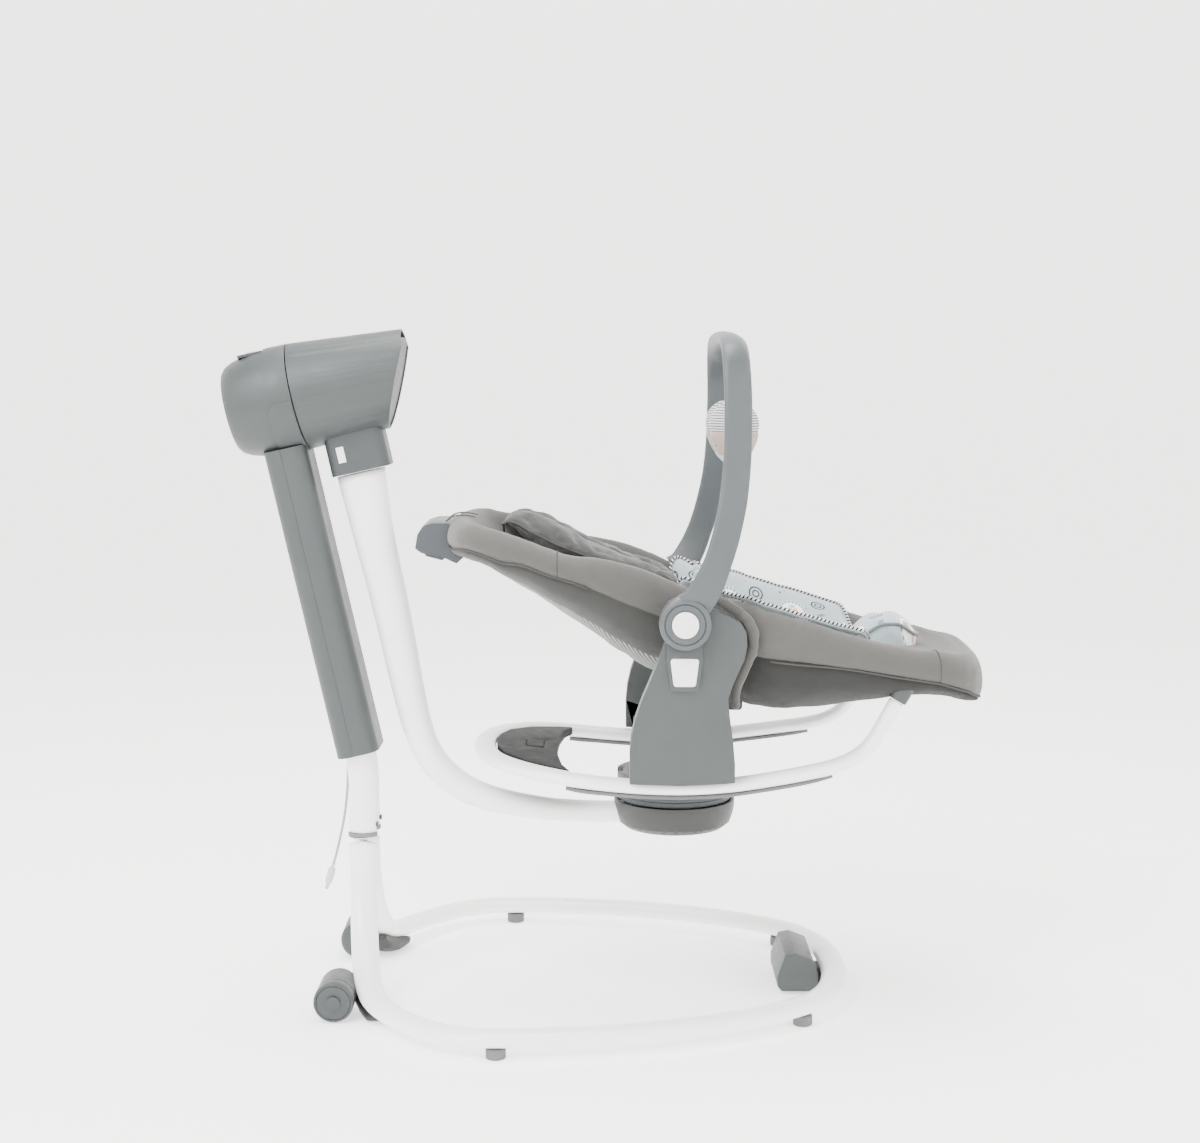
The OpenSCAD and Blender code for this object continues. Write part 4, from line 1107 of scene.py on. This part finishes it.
def toy_bar():
    hub_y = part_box("toy_bar")[1].y
    route = [(6, 219.5, 543), (16.5, 223, 552), (29.5, 226, 575), (39.5, 226, 600), (47.5, 223, 625),
             (53.5, 219, 649), (58.5, 214, 674), (61.5, 209, 698), (63.5, 205, 723), (64.5, 201, 748),
             (65, 193, 796), (64, 184, 828), (63, 166, 852), (62.5, 132, 865), (62.5, 80, 870),
             (62.5, 0, 871.5)]
    half = [Vector((PIVOT.x + x * MM, -y * MM, z * MM)) for x, y, z in route]
    mirrored = [Vector((p.x, -p.y, p.z)) for p in reversed(half[:-1])]
    steps = 200
    points = curve(half + mirrored, steps)

    def strap(i, angle):
        share = min(i, steps - i) / steps * 30
        wide = 18 + max(0.0, 3 - share) * 1.6
        crown = smooth((share - 10.2) / 3)
        return oval(wide * MM, mix(5.4, 9.2, crown) * MM, angle,
                    mix(0.55, 1, crown), mix(0.75, 1, crown))
    bar = sweep("toy_bar_strap", points, strap, MAT["bar_plastic"], side=(1, 0, 0))
    sharpen(bar, 60)
    mount(bar, "toy_bar", "grey_plastic", "toy_bar")
    for side, label in LABEL.items():
        start = 206.6 * MM
        outline = [(0, 0.0095), (0, 0.0308), (0.0012, 0.032), (0.0205, 0.032), (0.0228, 0.0315),
                   (0.0241, 0.0298), (0.0244, 0.0262), (0.0235, 0.0256), (0.0230, 0.0250),
                   (0.0235, 0.0244), (0.0244, 0.0238), (0.0244, 0.0172), (0.0236, 0.0168),
                   (0.0236, 0.0095)]
        hub = lathe("toy_bar_hub_" + label, outline,
                    (PIVOT.x, side * start, PIVOT.z), (0, side, 0), MAT["bar_plastic"])
        mount(hub, "toy_bar", "grey_plastic")
        cap = lathe("boss_cap_" + label, [(0, 0.0155), (0.0015, 0.0164), (0.003, 0.0164),
                                          (0.0039, 0.0156), (0.0043, 0.0139), (0.0044, 0.0001)],
                    (PIVOT.x, side * (hub_y - 0.001), PIVOT.z), (0, side, 0),
                    MAT["white_plastic"])
        mount(cap, "toy_bar", "white_plastic")
        if side < 0:
            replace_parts(cap, "boss_caps")


toy_bar()


# --- soft toys ---------------------------------------------------------------

def soft_toy(label, side):
    low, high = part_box("toy_" + label)
    centre = Vector(((low.x + high.x) / 2 + 0.0035, side * 0.042, low.z + 0.044))
    radius, tall = 0.0312, 0.0435
    bands = [("mint", "toy_mint", -90, -38), ("dots", "toy_dots", -38, 4),
             ("stripe", "toy_stripe", 4, 90)]
    pieces = []
    for name, material, a0, a1 in bands:
        outline = []
        for k in range(15):
            a = math.radians(mix(a0, a1, k / 14))
            edge = 1 - 0.05 * (bump(k, 0, 1.3) * (a0 > -89) + bump(k, 14, 1.3) * (a1 < 89))
            r = radius * math.cos(a) * (1 + 0.27 * math.sin(a + 0.1)) * edge
            outline.append((tall * math.sin(a), max(r, 0.0001)))
        band = lathe("toy_%s_%s" % (label, name), outline, centre, (0, 0, 1), MAT[material])
        for v in band.data.vertices:
            ray = Vector((v.co.x - centre.x, v.co.y - centre.y, 0))
            swell = wrinkle(v.co, 1.1 * MM, 55) - 0.0006 * math.cos(6 * math.atan2(ray.y, ray.x)) ** 8
            v.co += ray.normalized() * min(swell, 0.6 * MM) if ray.length > 1e-4 else ray
        shade_smooth(band)
        mount(band, "toy_" + label, "toy_cloth", fill=0.8)
        pieces.append(band)
    strap = [Vector((centre.x - 0.0047, centre.y, high.z - 0.001 - 0.0775 * k / 20))
             for k in range(21)]
    ribbon = sweep("toy_ribbon_" + label, strap,
                   lambda i, a: oval(5.6 * MM, 0.8 * MM, a, 0.3), MAT["piping"], side=(0, 1, 0))
    mount(ribbon, "toy_" + label, "toy_cloth")
    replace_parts(pieces[0], "toy_" + label)


for side, label in LABEL.items():
    soft_toy(label, side)


# --- seat covers -------------------------------------------------------------

back = build_cover("back_cover", BACK, MAT["seat_cloth"], MAT["sling_cloth"],
                   MAT["mesh_cloth"])
pan = build_cover("pan_cover", PAN, MAT["seat_cloth"], MAT["pan_low_cloth"])
subdivide(back)
subdivide(pan)


def cross_seam(name, cover, x, side, body):
    """Stitched line over the bolster, from its inner foot to the lower seam."""
    rows = rim_path(cover, 300)
    best = min((r for r in rows if r[0].y * side >= 0), key=lambda r: abs(r[0].x - x))
    line = section(cover, *best, 0)[INNER_POINTS:-LOW_POINTS]
    seam = round_sweep(name, curve([p * MM for p in line], 60), 0.9 * MM, MAT["thread"],
                       side=(1, 0, 0))
    mount(seam, body, "seat_cloth")


def lower_seam(name, cover, start, end, body):
    """Stitched line along the lower edge of the bolster, between two shares of the rim."""
    chosen = rim_path(cover, RIM_STEPS)[int(start * RIM_STEPS):int(end * RIM_STEPS) + 1]
    points = [Vector((p.x + n.x * 2.8, p.y + n.y * 2.8, cover.seam(p.x) - 0.5)) * MM
              for p, n, _ in chosen]
    seam = round_sweep(name, points, 1.1 * MM, MAT["thread"])
    mount(seam, body, "seat_cloth")


def near_bracket(p):
    """Folds are deepest beside the brackets and at the foot end."""
    return 0.25 + 0.75 * bump(p.x, 0.2, 0.08) + 0.4 * bump(p.x, 0.46, 0.05)


crumple(pan, 3.0 * MM, 26, near_bracket, (1, 0.6, 1.6))
crumple(pan, 0.8 * MM, 70, near_bracket, (1.3, 0.5, 1))
crumple(back, 2.3 * MM, 24, lambda p: 0.5 + 0.5 * bump(p.x, 0.06, 0.06), (1, 0.7, 1.4))
crumple(back, 0.6 * MM, 75, None, (1.2, 0.5, 1))
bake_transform(back)
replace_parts(back, "back_pad")
mount(pan, "seat", "seat_cloth", "pan_pad", fill=0.7)


for side, label in LABEL.items():
    cross_seam("back_cross_seam_" + label, BACK, -58, side, "back")
    cross_seam("pan_cross_seam_" + label, PAN, 430, side, "seat")
lower_seam("back_lower_seam", BACK, 0.16, 0.84, "back")
lower_seam("pan_lower_seam", PAN, 0.1, 0.9, "seat")
for side, label in LABEL.items():
    hem = [Vector((x, side * y, z)) * MM for x, y, z in (
        (118, 166, 557), (131, 173, 553), (146, 181, 546), (160, 186, 539), (173, 189, 531),
        (182, 190, 521), (187, 190, 507), (188, 189, 492), (184, 187, 476), (177, 184, 460),
        (170, 181, 444), (166, 177, 428), (166, 170, 412))]
    roll = sweep("pan_hem_" + label, curve(hem, 140),
                 lambda i, a: oval(4.6 * MM, 6.4 * MM, a), MAT["seat_cloth"], side=(0, 1, 0))
    shade_smooth(roll)
    crumple(roll, 1.7 * MM, 48)
    crumple(roll, 0.9 * MM, 140)
    mount(roll, "seat", "seat_cloth", fill=0.6)

# straps on the head end, beside the handle
for label, y in (("near", -34), ("far", 10)):
    slit = [Vector((x, y, z)) * MM for x, z in ((-205, 634), (-197, 639.6), (-188, 641.6),
                                              (-176, 641.2), (-166, 639))]
    strap = sweep("strap_slot_" + label, curve(slit, 24),
                  lambda i, a: oval(3.2 * MM, 1.0 * MM, a), MAT["webbing"], side=(0, 1, 0))
    mount(strap, "back", "seat_cloth")


# --- printed insert ----------------------------------------------------------

def build_insert():
    x0, x1, count, across = 58, 368, 96, 48
    side_gap, foot_half, head_taper = 23, 64, 56
    rows = []
    for i in range(count + 1):
        x = mix(x0, x1, i / count)
        half = min(BACK.half(x) if x < BACK_FOOT else 1e9, PAN.half(x) if x > PAN_HEAD else 1e9)
        width = mix(half - side_gap, foot_half, smooth((x - 328) / 40))
        width -= head_taper * (1 - smooth((x - 62) / 50))
        row = []
        for k in range(across + 1):
            s = mix(-1, 1, k / across)
            y = width * s
            slope = (insert_top(x, y + 1) - insert_top(x, y - 1)) / 2
            lift = min(5 * math.hypot(1, slope), 17)
            z = insert_top(x, y) + lift + 1.2 * wrinkle(Vector((x, y, 0)) * MM, 1.0, 30)
            row.append(Vector((x, y, z)) * MM)
        rows.append(row)
    along, total = [], 0.0
    for i in range(count + 1):
        if i:
            total += (rows[i][across // 2] - rows[i - 1][across // 2]).length
        along.append(total)
    lengths = [0.0]
    for a, b in zip(rows[50], rows[50][1:]):
        lengths.append(lengths[-1] + (b - a).length)
    piece = grid_mesh("printed_insert", rows, lambda i, k: (along[i], lengths[k]),
                      MAT["print_cloth"])
    return piece, [row[0].copy() for row in rows], [row[-1].copy() for row in rows]


insert, edge_near, edge_far = build_insert()
solid = insert.modifiers.new("thick", "SOLIDIFY")
solid.thickness = 3 * MM
solid.offset = -1
apply_modifiers(insert)
subdivide(insert)
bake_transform(insert)
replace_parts(insert, "pan_insert", "back_insert")
for label, edge in (("near", edge_near), ("far", edge_far)):
    line = curve([p + Vector((0, 0, 0.0012)) for p in edge], 260)
    rope = round_sweep("insert_piping_" + label, line, 2.1 * MM, MAT["piping"])
    shade_smooth(rope)
    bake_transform(rope)


# --- crotch piece ------------------------------------------------------------

TONGUE_X, TONGUE_Z = 370, 464        # middle of the tongue, and the pan's floor under it
TONGUE_LONG, TONGUE_WIDE = 50, 46    # half its length and half its width
TONGUE_STEPS = 56                    # points round its outline


def ridge_at(x):
    """Rise of the tongue over the pan: up from the strap slot, then down to its tip."""
    return 35 * smooth((x - 312) / 62) * (1 - 0.5 * smooth((x - 386) / 34))


def tongue_ring(scale, height):
    """Outline of the tongue at a scale; height(x) lifts its points off the pan's floor."""
    row = []
    for k in range(TONGUE_STEPS):
        angle = 2 * math.pi * k / TONGUE_STEPS
        x, y = oval(TONGUE_LONG * scale, TONGUE_WIDE * scale, angle, 0.85, 0.85)
        row.append(Vector((TONGUE_X + x, y, TONGUE_Z + height(TONGUE_X + x))) * MM)
    return row


def build_tongue():
    """Oval tongue that rises from the pan and lies over the strap slot."""
    top = [i / 18 for i in range(19)]
    wall = [1 - i / 9 for i in range(1, 10)]
    rows = [tongue_ring(r, lambda x: ridge_at(x) + 9 * (1 - r ** 4)) for r in top]
    rim = rows[-1] + [rows[-1][0]]
    rows += [tongue_ring(0.9 + 0.1 * r, lambda x: ridge_at(x) * r - 4 * (1 - r)) for r in wall]
    piece = grid_mesh("crotch_tongue", rows,
                      lambda i, k: (0.1 * i / (len(top) - 1), 0.3 * k / TONGUE_STEPS),
                      MAT["print_cloth"], close_rows=True, merge=1e-5)
    close_holes(piece)
    return piece, rim


tongue, tongue_rim = build_tongue()
puff(tongue, tongue_rim, cap=4 * MM, voxel=3.5 * MM)
lay_uvs(tongue)
mount(tongue, "seat", "print_cloth", "crotch_pad", fill=0.6)
tongue_piping = round_sweep("crotch_piping", curve(tongue_rim, 200), 2.3 * MM,
                            MAT["edge_piping"], side=(0, 0, 1))
shade_smooth(tongue_piping)
mount(tongue_piping, "seat", "seat_cloth")


# --- head pillow -------------------------------------------------------------

def build_pillow():
    """U-shaped cushion: thick wings at the sides, a low middle, open to the foot end."""
    x0, x1 = -129, 104
    wing_top = profile([(-129, 640), (-120, 650), (-108, 654), (-94, 652), (-60, 639), (-12, 615),
                        (38, 594), (82, 577), (104, 566)])
    wing_low = profile([(-129, 634), (-118, 632), (-94, 612), (-60, 592), (-12, 578), (38, 566),
                        (82, 556), (104, 548)])
    rows_top, rows_low = [], []
    count, across = 60, 64
    for i in range(count + 1):
        s = mix(-1, 1, i / count)
        x = mix(x0, x1, (s + 1) / 2)
        fade_x = max(0.0, 1 - abs(s) ** 6) ** 0.5
        reach = 114 * mix(1, 0.9, max(0, s) ** 3) * mix(1, 0.93, max(0, -s) ** 6)
        top, low = [], []
        for k in range(across + 1):
            t = mix(-1, 1, k / across)
            y = reach * t
            fade = fade_x * max(0.0, 1 - abs(t) ** 7) ** 0.5
            roll = smooth((abs(t) - 0.42) / 0.3)
            seam_dip = 4 * bump(abs(t), 0.47, 0.05)
            base = insert_top(x, min(abs(y), 100)) + 6
            under = mix(base, max(base, wing_low(x)), roll)
            crown = mix(base + 30, wing_top(x) - 11 * smooth(t * 2), roll) - seam_dip
            middle = mix(under, crown, 0.4)
            top.append(Vector((x, y, middle + (crown - middle) * fade)) * MM)
            low.append(Vector((x, y, middle - (middle - under) * fade)) * MM)
        rows_top.append(top)
        rows_low.append(low)
    rows = [t + low[::-1] for t, low in zip(rows_top, rows_low)]
    piece = grid_mesh("head_pillow_cushion", rows,
                      lambda i, k: (0.21 * i / count, 0.3 * k / across), MAT["pillow_cloth"],
                      close_rows=True, merge=1e-5)
    close_holes(piece)
    edge = [row[0] for row in rows_top] + rows_top[-1][1:-1]
    edge += [row[-1] for row in reversed(rows_top)] + rows_top[0][-2::-1]
    return piece, edge


pillow, pillow_edge = build_pillow()
puff(pillow, pillow_edge, cap=7 * MM)
lay_uvs(pillow)
crumple(pillow, 1.4 * MM, 28)
crumple(pillow, 0.7 * MM, 90)
middle = sum(pillow_edge, Vector()) / len(pillow_edge)
pillow_line = curve([middle + (p - middle) * 0.99 for p in pillow_edge], 400)
pillow_seam = round_sweep("pillow_seam", pillow_line, 1.5 * MM, MAT["thread"], side=(0, 0, 1))
shade_smooth(pillow_seam)
mount(pillow_seam, "back", "seat_cloth")
mount(pillow, "back", "seat_cloth", "head_pillow", fill=0.8)
